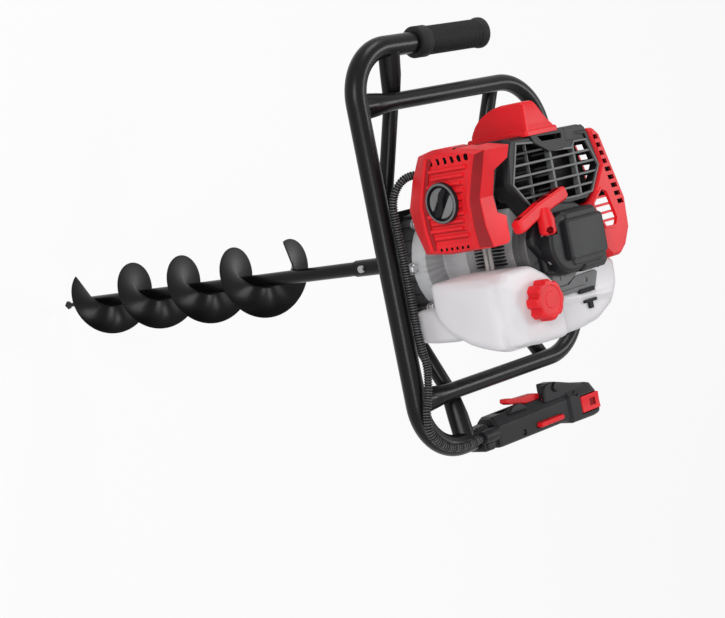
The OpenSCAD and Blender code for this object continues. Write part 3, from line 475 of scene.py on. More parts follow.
RED = (0.76, 0.010, 0.017)
FINISH = {
    "frame_paint": paint_finish("frame_paint", (0.003, 0.003, 0.0035), 0.24, 0.04, 0.17),
    "auger_paint": paint_finish("auger_paint", (0.0012, 0.0012, 0.0015), 0.20, 0.03, 0.13),
    "gearbox_paint": paint_finish("gearbox_paint", (0.008, 0.008, 0.009), 0.42, 0.4, 0.25),
    "steel": machined_finish("steel", (0.42, 0.42, 0.43), 0.30),
    "cast_alloy": cast_finish("cast_alloy", (0.30, 0.305, 0.31), 0.42, 0.55),
    "grip_rubber": rubber_finish("grip_rubber", (0.006, 0.006, 0.0065), 900.0),
    "fuel_hose": moulded_finish("fuel_hose", (0.40, 0.40, 0.39), 0.32, 600.0),
    "black_plastic": moulded_finish("black_plastic", (0.009, 0.0095, 0.011), 0.40, 1400.0, 0.24, 0.7),
    "red_plastic": moulded_finish("red_plastic", RED, 0.36, 1500.0, 0.28),
    "white_plastic": tank_finish("white_plastic"),
    "pulley_plastic": moulded_finish("pulley_plastic", (0.5, 0.5, 0.52), 0.45, 900.0),
    "filter_foam": foam_finish("filter_foam"),
}
# Dark red painted on the walls of slots, recesses and a mark, and on strips beside the ribs, as painted
# shade
RECESS_SHADE_RED = moulded_finish("red_recess_painted_shade", (0.26, 0.003, 0.006), 0.5, 1500.0, 0.2)
# Darker red painted on the lid's upward chamfer and on a band beside its ribs, as painted shade
FLANK_SHADE_RED = moulded_finish("red_flank_painted_shade", (0.30, 0.006, 0.010), 0.5, 700.0, 0.25, 0.7)
EDGE_GREY = moulded_finish("edge_grey", (0.095, 0.097, 0.10), 0.40, 1200.0, 0.4)
# Pale alloy, made paler still than the casting to make up for the shade of the tank and lid: partly painted
# light
PALE_ALLOY_PAINTED_LIGHT = cast_finish("pale_alloy_painted_light", (0.78, 0.78, 0.80), 0.44, 0.1)
FIN_BLACK = moulded_finish("fin_black", (0.008, 0.008, 0.009), 0.5, 500.0, 0.15, 0.6)
# Grey painted on the crests of the cable sleeve's ribs, as a painted highlight
CREST_HIGHLIGHT_GREY = moulded_finish("crest_painted_highlight", (0.045, 0.046, 0.048), 0.34, 900.0, 0.5)
RING_GREY = cast_finish("ring_grey", (0.15, 0.152, 0.156), 0.45, 0.4)
KNOB_GREY = moulded_finish("knob_grey", (0.20, 0.202, 0.206), 0.42, 300.0, 0.3, 0.55)
STRAP_GREY = moulded_finish("strap_grey", (0.13, 0.132, 0.136), 0.45, 500.0, 0.4)


# Sizes and colours that a user would change

class AugerSizes(bpy.types.PropertyGroup):
    turns: bpy.props.FloatProperty(
        name="Turns", description="Turns of the flight", default=3.96, min=2, max=4.4)
    pitch: bpy.props.FloatProperty(
        name="Pitch", description="Rise of the flight in a turn, in millimetres", default=117.0)
    radius: bpy.props.FloatProperty(
        name="Radius", description="Outer radius of the flight, in millimetres", default=50.0)


class SleeveSizes(bpy.types.PropertyGroup):
    ribs: bpy.props.IntProperty(
        name="Ribs", description="Ribs on the cable sleeve", default=152, min=120, max=200)
    radius: bpy.props.FloatProperty(
        name="Radius", description="Radius over the ribs, in millimetres", default=5.0)
    depth: bpy.props.FloatProperty(
        name="Depth", description="Depth between the ribs, in millimetres", default=1.2)


class StageLook(bpy.types.PropertyGroup):
    floor: bpy.props.FloatVectorProperty(
        name="Floor", description="Colour of the floor", subtype="COLOR", default=(0.92, 0.92, 0.92), min=0,
        max=1)
    key_power: bpy.props.FloatProperty(
        name="Key light", description="Power of the main lamp", default=25.0, unit="POWER")
    sky: bpy.props.FloatProperty(name="Sky", description="Light from all round", default=0.2, min=0, max=1)


# Pieces. The places that several of them share come first.

FRAME_Z = 65.0
BAR_Y = -130.0
GEARBOX_Y = -14.0
CRANK_Z = 147.0
COVER_TOP = 203.0
ROPE_Y = -29.0
ROPE_Z = 213.0
BOSS_Z = ROPE_Z + 5.5
FILLER = (54, -60)

ROUTE = (
    (209, -48, 84), (209, -60, 84), (209, -92, 85), (201, -119, 86), (182, -137, 86), (160, -137, 86),
    (140, -129, 85), (110, -121, 84), (71, -124, 84), (30, -124, 84), (-14, -124, 84), (-52, -125, 84),
    (-82, -124, 86), (-101, -113, 92), (-106, -96, 99), (-98, -80, 108), (-84, -67, 117), (-74, -62, 126),
    (-74, -62, 137.6))


def smooth_route(t):
    """Points on the smooth curve through the route, for parameters from 0 to 1."""
    points = np.array(ROUTE, float)
    last = len(points) - 1
    i = np.minimum((t * last).astype(int), last - 1)
    u = (t * last - i)[:, None]
    a = points[np.maximum(i - 1, 0)]
    b = points[i]
    c = points[i + 1]
    d = points[np.minimum(i + 2, last)]
    curve = 2 * a - 5 * b + 4 * c - d
    twist = 3 * b - a - 3 * c + d
    return 0.5 * (2 * b + (c - a) * u + curve * u ** 2 + twist * u ** 3)


class AUGER_OT_sleeve(bpy.types.Operator):
    """Ribbed cable sleeve from the throttle grip to the engine"""
    bl_idname = "earth_auger.sleeve"
    bl_label = "Cable sleeve"

    def execute(self, context):
        size = context.scene.earth_auger_sleeve
        even = np.linspace(0, 1, 4000)
        line = smooth_route(even)
        length = np.concatenate([[0], np.cumsum(np.linalg.norm(np.diff(line, axis=0), axis=1))])
        plain = 10.0 / length[-1]
        def wave(u):
            return 0.5 - 0.5 * np.cos(2 * np.pi * np.clip((u - plain) / (1 - 2 * plain), 0, 1) * size.ribs)
        def place(u, v):
            t = np.interp(u * length[-1], length, even)
            p = smooth_route(t)
            ahead = smooth_route(np.clip(t + 0.001, 0, 1)) - smooth_route(np.clip(t - 0.001, 0, 1))
            ahead /= np.linalg.norm(ahead, axis=1)[:, None]
            side = np.cross([0.0, 0.0, 1.0], ahead)
            side /= np.linalg.norm(side, axis=1)[:, None]
            lift = np.cross(ahead, side)
            r = size.radius - size.depth + size.depth * np.clip(wave(u) * 1.5 - 0.2, 0, 1)
            angle = 2 * np.pi * v
            return p + r[:, None] * (np.cos(angle)[:, None] * side + np.sin(angle)[:, None] * lift)
        rows = size.ribs * 6
        sleeve = sheet_grid("cable_sleeve", rows, 14, place)
        # The rib crests get the grey, a painted highlight on the black sleeve
        paint(sleeve, FIN_BLACK, CREST_HIGHLIGHT_GREY)
        paint_second(sleeve, lambda side: wave((side.index % rows + 0.5) / rows) > 0.62)
        dress(sleeve, "black_plastic", "throttle_conduit", finish=FIN_BLACK, smooth=60)
        line = line[::40] * MM
        return {"FINISHED"}


class AUGER_OT_flight(bpy.types.Operator):
    """Spiral flight of the soil auger, with its edge ground thin and its weld to the tube"""
    bl_idname = "earth_auger.flight"
    bl_label = "Flight"

    def execute(self, context):
        size = context.scene.earth_auger_auger
        end_angle = math.radians(194)
        end_z = -241.0
        section = (
            (9.1, -1.5), (30, -1.5), (46, -1.3), (size.radius - 0.4, -0.7), (size.radius, 0),
            (size.radius - 0.4, 0.7), (46, 1.3), (30, 1.5), (9.1, 1.5), (9.1, -1.5))
        radii = np.array([p[0] for p in section])
        heights = np.array([p[1] for p in section])
        steps = np.linspace(0, 1, len(section))
        def helix(u, r, lift):
            back = (u - 1) * size.turns
            angle = end_angle + 2 * np.pi * back
            return np.stack(
                [r * np.cos(angle), r * np.sin(angle), end_z + size.pitch * back + lift], axis=1)
        def blade(u, v):
            return helix(u, np.interp(v, steps, radii), np.interp(v, steps, heights))
        flight = sheet_grid("auger_spiral", int(96 * size.turns), len(section) - 1, blade)
        dress(flight, "auger_paint", "auger_flight", body="auger", smooth=35)
        seams = []
        for side in (1, -1):
            def bead(u, v, side=side):
                wobble = 1.6 + 0.25 * np.sin(u * size.turns * 2 * np.pi * 24)
                around = 2 * np.pi * v
                return helix(u, 9.2 + wobble * np.cos(around), side * 1.9 + wobble * np.sin(around))
            seams.append(sheet_grid("auger_weld_seam", int(120 * size.turns), 8, bead))
        dress(join("auger_weld_seam", seams), "auger_paint", body="auger", smooth=60)
        return {"FINISHED"}


class AUGER_OT_grip(bpy.types.Operator):
    """Rubber grip with a smooth collar, a ribbed middle and a flared end"""
    bl_idname = "earth_auger.grip"
    bl_label = "Rubber grip"

    def execute(self, context):
        low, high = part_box("foam_grip")
        start = low.y / MM
        length = (high.y - low.y) / MM
        centre = ((low.x + high.x) / 2 / MM, (low.z + high.z) / 2 / MM)
        profile = [(0, 13.2), (0, 17.6), (0.8, 18.4), (17.2, 18.5), (18, 17.6), (18.6, 16.7)]
        t = 19.5
        while t < length - 14:
            profile += [(t, 17.0), (t + 1.3, 17.0), (t + 1.6, 16.5), (t + 2.1, 16.5)]
            t += 2.4
        profile += [
            (length - 12.5, 16.9), (length - 9, 17.6), (length - 5.5, 18.5), (length - 2, 18.4),
            (length - 0.6, 17.2), (length, 14.6), (length - 0.4, 6.0), (length - 1.8, 4.5)]
        grip = turned("rubber_grip", profile, (centre[0], start, centre[1]), (0, 1, 0), 72)
        grooves = 36
        for v in grip.data.vertices:
            along = v.co.y / MM - start
            across = Vector((v.co.x / MM - centre[0], v.co.z / MM - centre[1]))
            if 19.2 < along < length - 14 and math.cos(math.atan2(across.y, across.x) * grooves) < -0.2:
                v.co.x = (centre[0] + across.x * 0.975) * MM
                v.co.z = (centre[1] + across.y * 0.975) * MM
        dress(grip, "grip_rubber", "foam_grip", smooth=50)
        return {"FINISHED"}


LID_RIM = [
    (-126, 128), (-130, 150), (-130, 176), (-120.5, 226), (-100, 219), (-70, 207), (-40, 208), (-16, 214),
    (-14, 150), (-17, 112), (-45, 102), (-69, 99), (-100, 112)]
LID_FACE = [
    (-122, 145), (-125, 156), (-125.5, 175), (-118, 220), (-100, 212), (-69, 200.5), (-40, 200.5),
    (-18, 203), (-17.5, 150), (-20, 128), (-45, 125), (-72, 125), (-101, 136)]
LID_BACK = [
    (-140, -73), (-107, -76), (-97, -96), (-51, -92.5), (-45, -79), (-20, -86), (-13, -96), (0, -96),
    (0, -40), (-140, -40)]


class AUGER_OT_filter(bpy.types.Operator):
    """Air filter cover with its ribbed face and vents, its base plate and its knob"""
    bl_idname = "earth_auger.filter"
    bl_label = "Filter cover"

    def execute(self, context):
        back, seat, rim, face = -70.0, -91.6, -115.0, -125.0
        lid = stack(
            "filter_lid", "Y", (LID_RIM, back), (LID_RIM, rim), (LID_FACE, face),
            (offset(LID_FACE, -6), face), (offset(LID_FACE, -8), face + 1.2))
        # The chamfer faces that turn up to the top flank get the darker red, as painted shade
        paint(lid, FINISH["red_plastic"], FLANK_SHADE_RED)
        paint_second(lid, lambda side: side.normal.z > 0.25 and -0.95 < side.normal.y < -0.2)
        soften(lid, 1.4, 3, 16)
        # The hollow is cut with black plastic walls, as painted shade inside the red lid
        inside = stack(
            "inside", "Y", (offset(LID_RIM, -2.6), back + 20), (offset(LID_RIM, -2.6), rim + 1),
            (offset(LID_FACE, -3), face + 4))
        behind = block("behind", (-140, seat, 80), (-5, back + 20, 196))
        carve(lid, inside, finish=FINISH["black_plastic"])
        carve(lid, behind, prism("back_edge", LID_BACK, 190, 240))
        # A row of vents along the top of the face and one along its foot
        vents = [self.vent(-116.5, 154 + 10.6 * k, 7.5, 3.4 + 0.5 * k, face) for k in range(6)]
        vents += [self.vent(-21, 146 + 8.0 * k, 3.6, 3.4, face) for k in range(6)]
        vents.append(
            prism("parting", [(-134, 183), (-126.5, 184), (-126.5, 187), (-134, 190)], rim - 4, back, "Y"))
        # The walls of the vents and of the parting notch are black plastic, as painted shade
        carve(lid, *vents, finish=FINISH["black_plastic"])
        dress(lid, "red_plastic", "filter_cover", smooth=30)
        # Ribs on the recessed face, each with a dark red strip beside it as a painted shadow
        ribs = []
        for k in range(10):
            x = -107 + k * 8.1
            low, high = span_across(LID_FACE, x, 0)
            section = [
                (x - 2.6, face + 1.8), (x - 1.5, face - 0.5), (x + 1.5, face - 0.5), (x + 2.6, face + 1.8)]
            rib = prism("rib", section, low + 9.5 + 4 * (k % 2), high - 11 - 3 * (k % 3))
            ribs.append(soften(rib, 0.4, 2))
            # A thin dark red strip beside the rib, as a painted shadow
            rib_shadow_strip = block("rib_shadow_strip", (x + 2.7, face + 0.7, low + 12), (x + 3.5, face + 2, high - 13))
            ribs.append(paint(rib_shadow_strip, RECESS_SHADE_RED))
        # A darker red band, as the painted shade of a step, and a raised edge along the side that turns to
        # the tube frame
        edge = [(-121.5, 146.5), (-100.5, 137.5), (-71, 126.5), (-45, 126.5), (-21, 130)]
        step = prism("step", edge + [(x, z + 9.5) for x, z in reversed(edge)], face + 1.6, face - 0.25, "Y")
        paint(step, FLANK_SHADE_RED)
        lift = stack(
            "lift", "Y", (edge + [(x, z + 4.5) for x, z in reversed(edge)], face + 1),
            ([(x, z + 0.6) for x, z in edge] + [(x, z + 3.6) for x, z in reversed(edge)], face - 1.6))
        ribs += [step, soften(lift, 0.5, 2)]
        dress(join("filter_ribs", ribs), "red_plastic", smooth=40)
        plate = prism("filter_plate", offset(LID_RIM, -3.4), -91.5, -88.2, "Y")
        throat = drum("throat", 10, -95, -85, (-74, 0, 154), (0, 1, 0), 40)
        dress(carve(soften(plate, 0.6, 2), throat), "black_plastic", "filter_base", smooth=35)
        self.knob(-72, face - 0.3, 163)
        return {"FINISHED"}

    def vent(self, x, z, tall, wide, face):
        outline = rounded(tall, wide, wide * 0.4, 3, (x, z))
        return prism("vent", outline, face - 6, face + 8, "Y")

    def knob(self, x, y, z):
        centre = (x, y, z)
        towards = (0, -1, 0)
        rim = turned(
            "filter_knob_grip", [(0, 4.2), (0, 21.8), (0.8, 22.6), (4.6, 22.6), (5.4, 22.0), (6.0, 21.2),
                (6.2, 20.4), (5.8, 19.6), (1.6, 18.6), (1.4, 5.0)], centre, towards, 80)
        paint(rim, FINISH["black_plastic"], STRAP_GREY)
        paint_second(rim, lambda side: side.center.y / MM - y < -5.2)
        stem = drum("stem", 4, -9.7, 2.0, centre, towards, 24)
        turn = math.radians(142)
        def spun(p, q):
            return (
                x + p * math.cos(turn) - q * math.sin(turn), z + p * math.sin(turn) + q * math.cos(turn))
        bar = []
        for a in full_turn(48):
            c = math.cos(a)
            s = math.sin(a)
            swing = 3.0 * math.sin(c * math.pi / 1.1)
            bar.append(spun(17.4 * c, (3.6 + 2.6 * c * c) * s + swing))
        pieces = [rim, stem, soften(prism("bar", bar, y - 1.2, y - 6.6, "Y"), 1.2, 3)]
        paint(pieces[2], FIN_BLACK)
        for side in (1, -1):
            cheek = []
            for k in range(25):
                a = math.pi * (0.13 + 0.74 * k / 24)
                cheek.append(spun(16.8 * math.cos(a), side * 16.8 * math.sin(a)))
            for k in range(9):
                p = -11 + 22 * k / 8
                cheek.append(spun(p, side * 6.4))
            pad = soften(prism("cheek", cheek, y - 1.2, y - 4.6, "Y"), 1.0, 3)
            pieces.append(paint(pad, KNOB_GREY))
        dress(join("filter_knob_grip", pieces), "black_plastic", "filter_knob", body="knob")


DOME_LEVELS = (
    (-124.1, 121, 206, -18, 32), (-130, 121, 206, -18, 31), (-134, 122, 205, -18, 28),
    (-139, 125, 204.8, -18, 22.5), (-145, 130, 204.5, -18, 17.5), (-151, 137, 204, -18, 13.5),
    (-156, 146, 203.4, -17.5, 10.5), (-160, 156, 202.6, -16.5, 7.5), (-162, 164, 201.6, -15.5, 5),
    (-163, 170, 199, -13, 2))


class AUGER_OT_dome(bpy.types.Operator):
    """Plug cover on top of the engine, drawn in towards its crown"""
    bl_idname = "earth_auger.dome"
    bl_label = "Plug cover"

    def execute(self, context):
        rings = []
        for x, z0, z1, y0, y1 in DOME_LEVELS:
            shape = rounded(y1 - y0, z1 - z0, 2.5, 3, ((y0 + y1) / 2, (z0 + z1) / 2))
            rings.append([(x, p, q) for p, q in shape])
        dress(loft("plug_hood", rings), "red_plastic", "plug_cover", smooth=28)
        middle = (7, 161.5)
        flange = tapered(
            "plug_hood_flange", "X", (55, 91, 3, middle, -124.1), (55, 91, 3, middle, -129.5),
            (51.6, 87.5, 2, middle, -131), steps=3)
        crease = prism(
            "crease", [(-160, -17.4), (-131, -19), (-129, -19), (-129, -14), (-160, -14)], 201, 206.4)
        pieces = [soften(flange, 0.8, 2), soften(crease, 1.2, 2)]
        dress(join("plug_hood_flange", pieces), "red_plastic", smooth=40)
        return {"FINISHED"}


SHROUD_SIDE = [
    (-126, -50), (-126, 82), (-116, 92.5), (-76, 102.8), (-44, 79.5), (-30, 54), (-30, -24), (-44, -38),
    (-76, -62), (-110, -56)]
SHROUD_FACE = [
    (-123, -45), (-123, 80), (-114.5, 89), (-76.5, 100.5), (-46.5, 78), (-33, 52), (-33, -21), (-46, -34.5),
    (-77, -59), (-110, -52)]
SHROUD_WINDOW = [
    (-118, -37), (-115.5, -8), (-103, 15), (-100.5, 56), (-107, 62), (-106.5, 83), (-75.5, 97), (-48.5, 78),
    (-47, 52), (-48.5, -31), (-75, -53)]
CORNER_NEAR = [(-125, -14), (-125, 46), (-109, 47), (-102.5, 41), (-102.5, 15), (-115, -8)]
CORNER_FAR = [(-125, 46), (-125, 79), (-121, 84), (-117, 85), (-118, 63), (-110, 61), (-110, 47)]
TOP_SLOT = [(-122, -2), (-120.5, 40), (-114.5, 39), (-115.5, 5)]
SIDE_VENT = ((-104, 80, 140), (-57, 108, 190))


class AUGER_OT_shroud(bpy.types.Operator):
    """Fan shroud with its louvred window"""
    bl_idname = "earth_auger.shroud"
    bl_label = "Fan shroud"

    def execute(self, context):
        top = COVER_TOP
        shell = stack("fan_shroud", "Z", (SHROUD_SIDE, 118), (SHROUD_SIDE, 196), (SHROUD_FACE, top))
        soften(shell, 1.5, 3, 20)
        carve(
            shell, prism("hollow", offset(SHROUD_SIDE, -3.5), 110, top - 4),
            prism("window", SHROUD_WINDOW, top - 20, top + 5),
            block("case_room", (-57, -60, 110), (5, 60, 181)),
            block("intake_room", (-94, -70, 134), (-54, 0, 174)),
            block("exhaust_room", (-101, 40, 121), (-28, 110, 179)), block("side_vent", *SIDE_VENT),
            drum("starter_room", 49.6, 100, 240), block("tower_room", (-42, 1, 179), (5, 66, 230)),
            drum("plug_room", 14, -15, 15, (-124, 0, CRANK_Z), (1, 0, 0), 32),
            soften(prism("top_slot", TOP_SLOT, top - 6, top + 4), 0.6, 1),
            prism("side_step", [(-117, 63), (-114, 84), (-106.5, 86), (-107, 62)], top - 2.0, top + 4))
        dress(shell, "black_plastic", "engine_shroud", smooth=30)
        # Pale lip round the window, slanted louvres and upright mullions
        lip = stack(
            "lip", "Z", (offset(SHROUD_WINDOW, 2.2), top - 1.5), (offset(SHROUD_WINDOW, 1.6), top + 0.9))
        hole = stack(
            "hole", "Z", (offset(SHROUD_WINDOW, -0.6), top - 10), (offset(SHROUD_WINDOW, -0.2), top + 5))
        carve(lip, hole)
        bars = [paint(lip, EDGE_GREY)]
        for k in range(5):
            x = -107 + k * 12.4
            low, high = span_across(SHROUD_WINDOW, x, 0)
            section = [(x - 0.4, top - 9), (x + 2.0, top - 9), (x + 1.3, top - 0.4), (x - 1.2, top - 0.4)]
            bar = prism("louvre", section, low - 1, high + 1, "Y")
            paint(bar, EDGE_GREY if k else FINISH["black_plastic"])
            bars.append(soften(bar, 0.4, 2))
        for y, half, drop in ((20, 1.9, 1.6), (61, 1.7, 1.6), (-16, 0.8, 5.0)):
            low, high = span_across(SHROUD_WINDOW, y, 1)
            post = block("mullion", (low - 1, y - half, top - 9), (high + 1, y + half, top - drop))
            bars.append(soften(paint(post, EDGE_GREY), 0.4, 2))
        dress(join("shroud_louvres", bars), "black_plastic", finish=EDGE_GREY, smooth=30)
        # Raised corners beside the window, and a baffle that keeps daylight off the cylinder
        raised = []
        for outline, height in ((CORNER_NEAR, 2.2), (CORNER_FAR, 1.6)):
            raised.append(soften(prism("raised", outline, top - 3, top + height), 1.0, 2))
        carve(raised[0], prism("top_slot", TOP_SLOT, top - 6, top + 6))
        raised.append(soften(block("baffle", (-122, 44, 122), (-101.5, 46.5, 190)), 0.5, 2))
        dress(join("shroud_corner", raised), "black_plastic", smooth=40)
        return {"FINISHED"}


GUARD_SIDE = [
    (-119, 94), (-119, 103), (-111, 112), (-32, 137.8), (4, 136), (24, 124), (33, 112), (33, 94), (22, 84),
    (22, 62), (-27, 59), (-43, 81), (-76, 104), (-114, 94)]
GUARD_WINDOW = [(-47, 95), (-43, 103), (-11, 113.5), (-3, 109), (-4, 92), (-29, 77.5), (-33, 78)]


class AUGER_OT_guard(bpy.types.Operator):
    """Red exhaust guard with its row of slots and its barred window"""
    bl_idname = "earth_auger.guard"
    bl_label = "Exhaust guard"

    def execute(self, context):
        top = COVER_TOP
        shell = stack(
            "exhaust_guard", "Z", (GUARD_SIDE, 118), (GUARD_SIDE, 198), (offset(GUARD_SIDE, -3), top))
        paint(shell, FINISH["red_plastic"])
        soften(shell, 1.8, 3, 20)
        # The inside of the hollow gets black plastic walls, as painted shade inside the red guard
        carve(
            shell, prism("hollow", offset(GUARD_SIDE, -2.6), 110, top - 3), finish=FINISH["black_plastic"])
        # Slots that follow the slanted edge, with dark red walls as painted shade
        slots = []
        for k in range(9):
            x = -107.5 + k * 9.9
            y = max(100.5 + k * 3.2, 102.5 + k * 2.9)
            half = 4.2 if k < 4 else 6.0
            slots.append(
                prism("slot", [(x - 2.7, y - half), (x + 2.7, y - half + 1.5), (x + 2.7, y + half),
                    (x - 2.7, y + half - 1.5)], top - 20, top + 10))
        carve(shell, *slots, finish=RECESS_SHADE_RED)
        outlet = prism("outlet", [(-42, 128), (-34, 186), (0, 186), (8, 128)], 110, 150, "Y")
        carve(
            shell, soften(prism("window", GUARD_WINDOW, top - 30, top + 10), 1.2, 2), outlet,
            block("exhaust_room", (-102, 80, 121), (-37, 98, 180)), block("side_vent", *SIDE_VENT))
        # Small vents on the far side
        far = (
            (-101, -94.5, 162, 173), (-88.5, -82.5, 161, 173), (-76, -70, 161, 172),
            (-63.5, -59.5, 158, 164))
        carve(shell, *[block("far_vent", (x0, 106, z0), (x1, 150, z1)) for x0, x1, z0, z1 in far])
        bars = [shell]
        for k in range(4):
            x = -38 + k * 9.4
            low, high = span_across(GUARD_WINDOW, x, 0)
            bars.append(
                soften(block("bar", (x - 1.3, low - 2, top - 7), (x + 1.3, high + 2, top - 1.6)), 0.5, 2))
        frame_edge = stack(
            "edge", "Z", (offset(GUARD_WINDOW, 3.4), top - 1), (offset(GUARD_WINDOW, 2.6), top + 1.2))
        carve(frame_edge, prism("hole", offset(GUARD_WINDOW, 0.2), top - 9, top + 9))
        bars.append(frame_edge)
        dress(join("exhaust_guard", bars), "red_plastic", "muffler_cover", smooth=30)
        return {"FINISHED"}


STARTER_FOOT = [
    (-46, 8), (-40, -24), (-28, -40), (-13, -47), (-5, -46), (10, -33), (29, -32), (37, 3), (34, 26),
    (39, 64), (-30, 58), (-41, 40)]


class AUGER_OT_starter(bpy.types.Operator):
    """Recoil starter: alloy fan ring, black cup, bare plate and the pull handle"""
    bl_idname = "earth_auger.starter"
    bl_label = "Recoil starter"

    def execute(self, context):
        ring = turned(
            "fan_ring", [(179, 46.4), (179, 48.4), (179.6, 49), (186, 49), (186.8, 47.6), (190, 47.6),
                (190.8, 49), (198, 49), (199, 48), (199, 20)], count=96)
        carve(
            ring, drum("flywheel_room", 45.6, 170, 197.6),
            block("coil_room", (-80, -40, 170), (-40, 40, 197)))
        dress(ring, "cast_alloy", finish=EDGE_GREY, smooth=35)
        foot = stack(
            "starter_cup", "Z", (STARTER_FOOT, 199), (STARTER_FOOT, 205),
            (offset(STARTER_FOOT, -2.5), 208.5))
        cup = turned("cup", [(200, 35), (214, 35), (221, 34), (223.4, 32), (224, 29), (224, 4)], count=72)
        tower = tapered(
            "tower", "Z", (64, 60, 4, (-3, 23), 200), (64, 60, 4, (-3, 23), 220),
            (57, 54, 4, (-3, 24), 226))
        chin = tapered(
            "chin", "Z", (22, 44, 3, (26, 42), 200), (22, 44, 3, (26, 42), 214), (16, 40, 3, (24, 42), 220),
            steps=3)
        pieces = [soften(piece, 0.8, 2, 25) for piece in (foot, cup, tower, chin)]
        for piece in pieces:
            carve(
                piece, drum("pulley_room", 34, 190, 219.4),
                drum("rope_hole", 2.4, -60, 20, (0, ROPE_Y, ROPE_Z), (1, 0, 0), 20),
                drum("boss_room", 10.4, -90, -12.6, (0, ROPE_Y, BOSS_Z), (1, 0, 0), 40))
        middle = (-3, 22)
        plate = tapered(
            "plate", "Z", (46, 65, 4, middle, 223), (46, 65, 4, middle, 228.4),
            (44.6, 63.6, 4, middle, 230.2), (41.5, 60.5, 3.4, middle, 231.6),
            (39.5, 58.5, 3, middle, 231.2))
        pieces.append(plate)
        dress(join("starter_cup", pieces), "black_plastic", "starter_housing", smooth=32)
        self.handle()
        return {"FINISHED"}

    def handle(self):
        x, y, z = -42, ROPE_Y, ROPE_Z
        tilt = math.radians(17)
        def place(along, across):
            return (
                x + across * math.cos(tilt) - along * math.sin(tilt),
                y + across * math.sin(tilt) + along * math.cos(tilt))
        rings = []
        for t, half, thick in (
                (-47, 4.0, 4.0), (-45.5, 6.6, 5.6), (-40, 8.0, 6.6), (-20, 7.6, 6.6), (0, 8.2, 6.8),
                (20, 7.6, 6.6), (40, 8.0, 6.6), (45.5, 6.6, 5.6), (47, 4.0, 4.0)):
            sag = -2.0 * math.cos(t / 47 * math.pi / 2)
            rings.append([(*place(t, p + sag), z + q) for p, q in rounded(2 * half, 2 * thick, 3.0, 3)])
        bar = loft("pull_handle_bar", rings)
        paint(bar, FINISH["red_plastic"])
        def recess(low, high, depth, half):
            corners = [
                place(t, w) for t, w in ((low, -18), (low, depth - 9.6), (high, depth - 9.6), (high, -18))]
            return soften(prism("recess", corners, z - half, z + half), 0.5, 2)
        carve(bar, recess(-31, -4, 1.8, 4.4))
        # These recesses get dark red walls, as painted shade
        carve(
            bar, recess(-1.5, 18, 6.0, 4.4), recess(21.5, 40, 6.0, 4.4), recess(-41, -34, 5.0, 4.2),
            finish=RECESS_SHADE_RED)
        boss = turned(
            "boss", [(-44, 5.5), (-38, 7.4), (-31, 9.6), (-18, 9.6), (-15.2, 8.8), (-13.7, 6.9),
                (-13.4, 2)], (0, y, BOSS_Z), (1, 0, 0), 48)
        carve(boss, drum("pulley_room", 34.2, 190, 219.6))
        paint(boss, FINISH["red_plastic"])
        # The socket gets dark red walls, as painted shade
        carve(boss, drum("socket", 4.4, 4, 20, (-21, -31, z + 5), (0.25, -0.35, 1), 6), finish=RECESS_SHADE_RED)
        handle = join("pull_handle_bar", [bar, boss])
        dress(handle, "red_plastic", "starter_handle", body="pull_handle", smooth=35)
        rope = drum("pull_rope", 1.75, -33, 14, (0, y, z), (1, 0, 0), 16)
        dress(soften(rope, 0.4, 2), "grip_rubber", body="pull_handle", smooth=60)


TANK = [
    (14, -98), (18, -107), (28, -112.5), (90, -112.5), (99, -108), (104, -92), (105, -30), (104, 30),
    (100, 60), (86, 90), (64, 105), (36, 107), (28, 94), (24, 76), (24, -40), (14, -58)]
TANK_BELLY = ((103, 54), (109, 66), (118, 76), (128, 84), (145, 94), (161, 99), (180, 103), (196, 104))
SHELF_LOW = [
    (14, -98), (24, -110), (44, -112), (66, -112), (82, -110), (97, -98), (102, -63), (103, -18), (26, -18),
    (24, -40), (14, -58), (14, -80)]
SHELF_TOP = [
    (18, -100), (28, -108), (47, -102), (62, -92.5), (74, -86.5), (94, -85), (98, -62), (99, -21),
    (31, -21), (29, -40), (18, -58), (17, -80)]


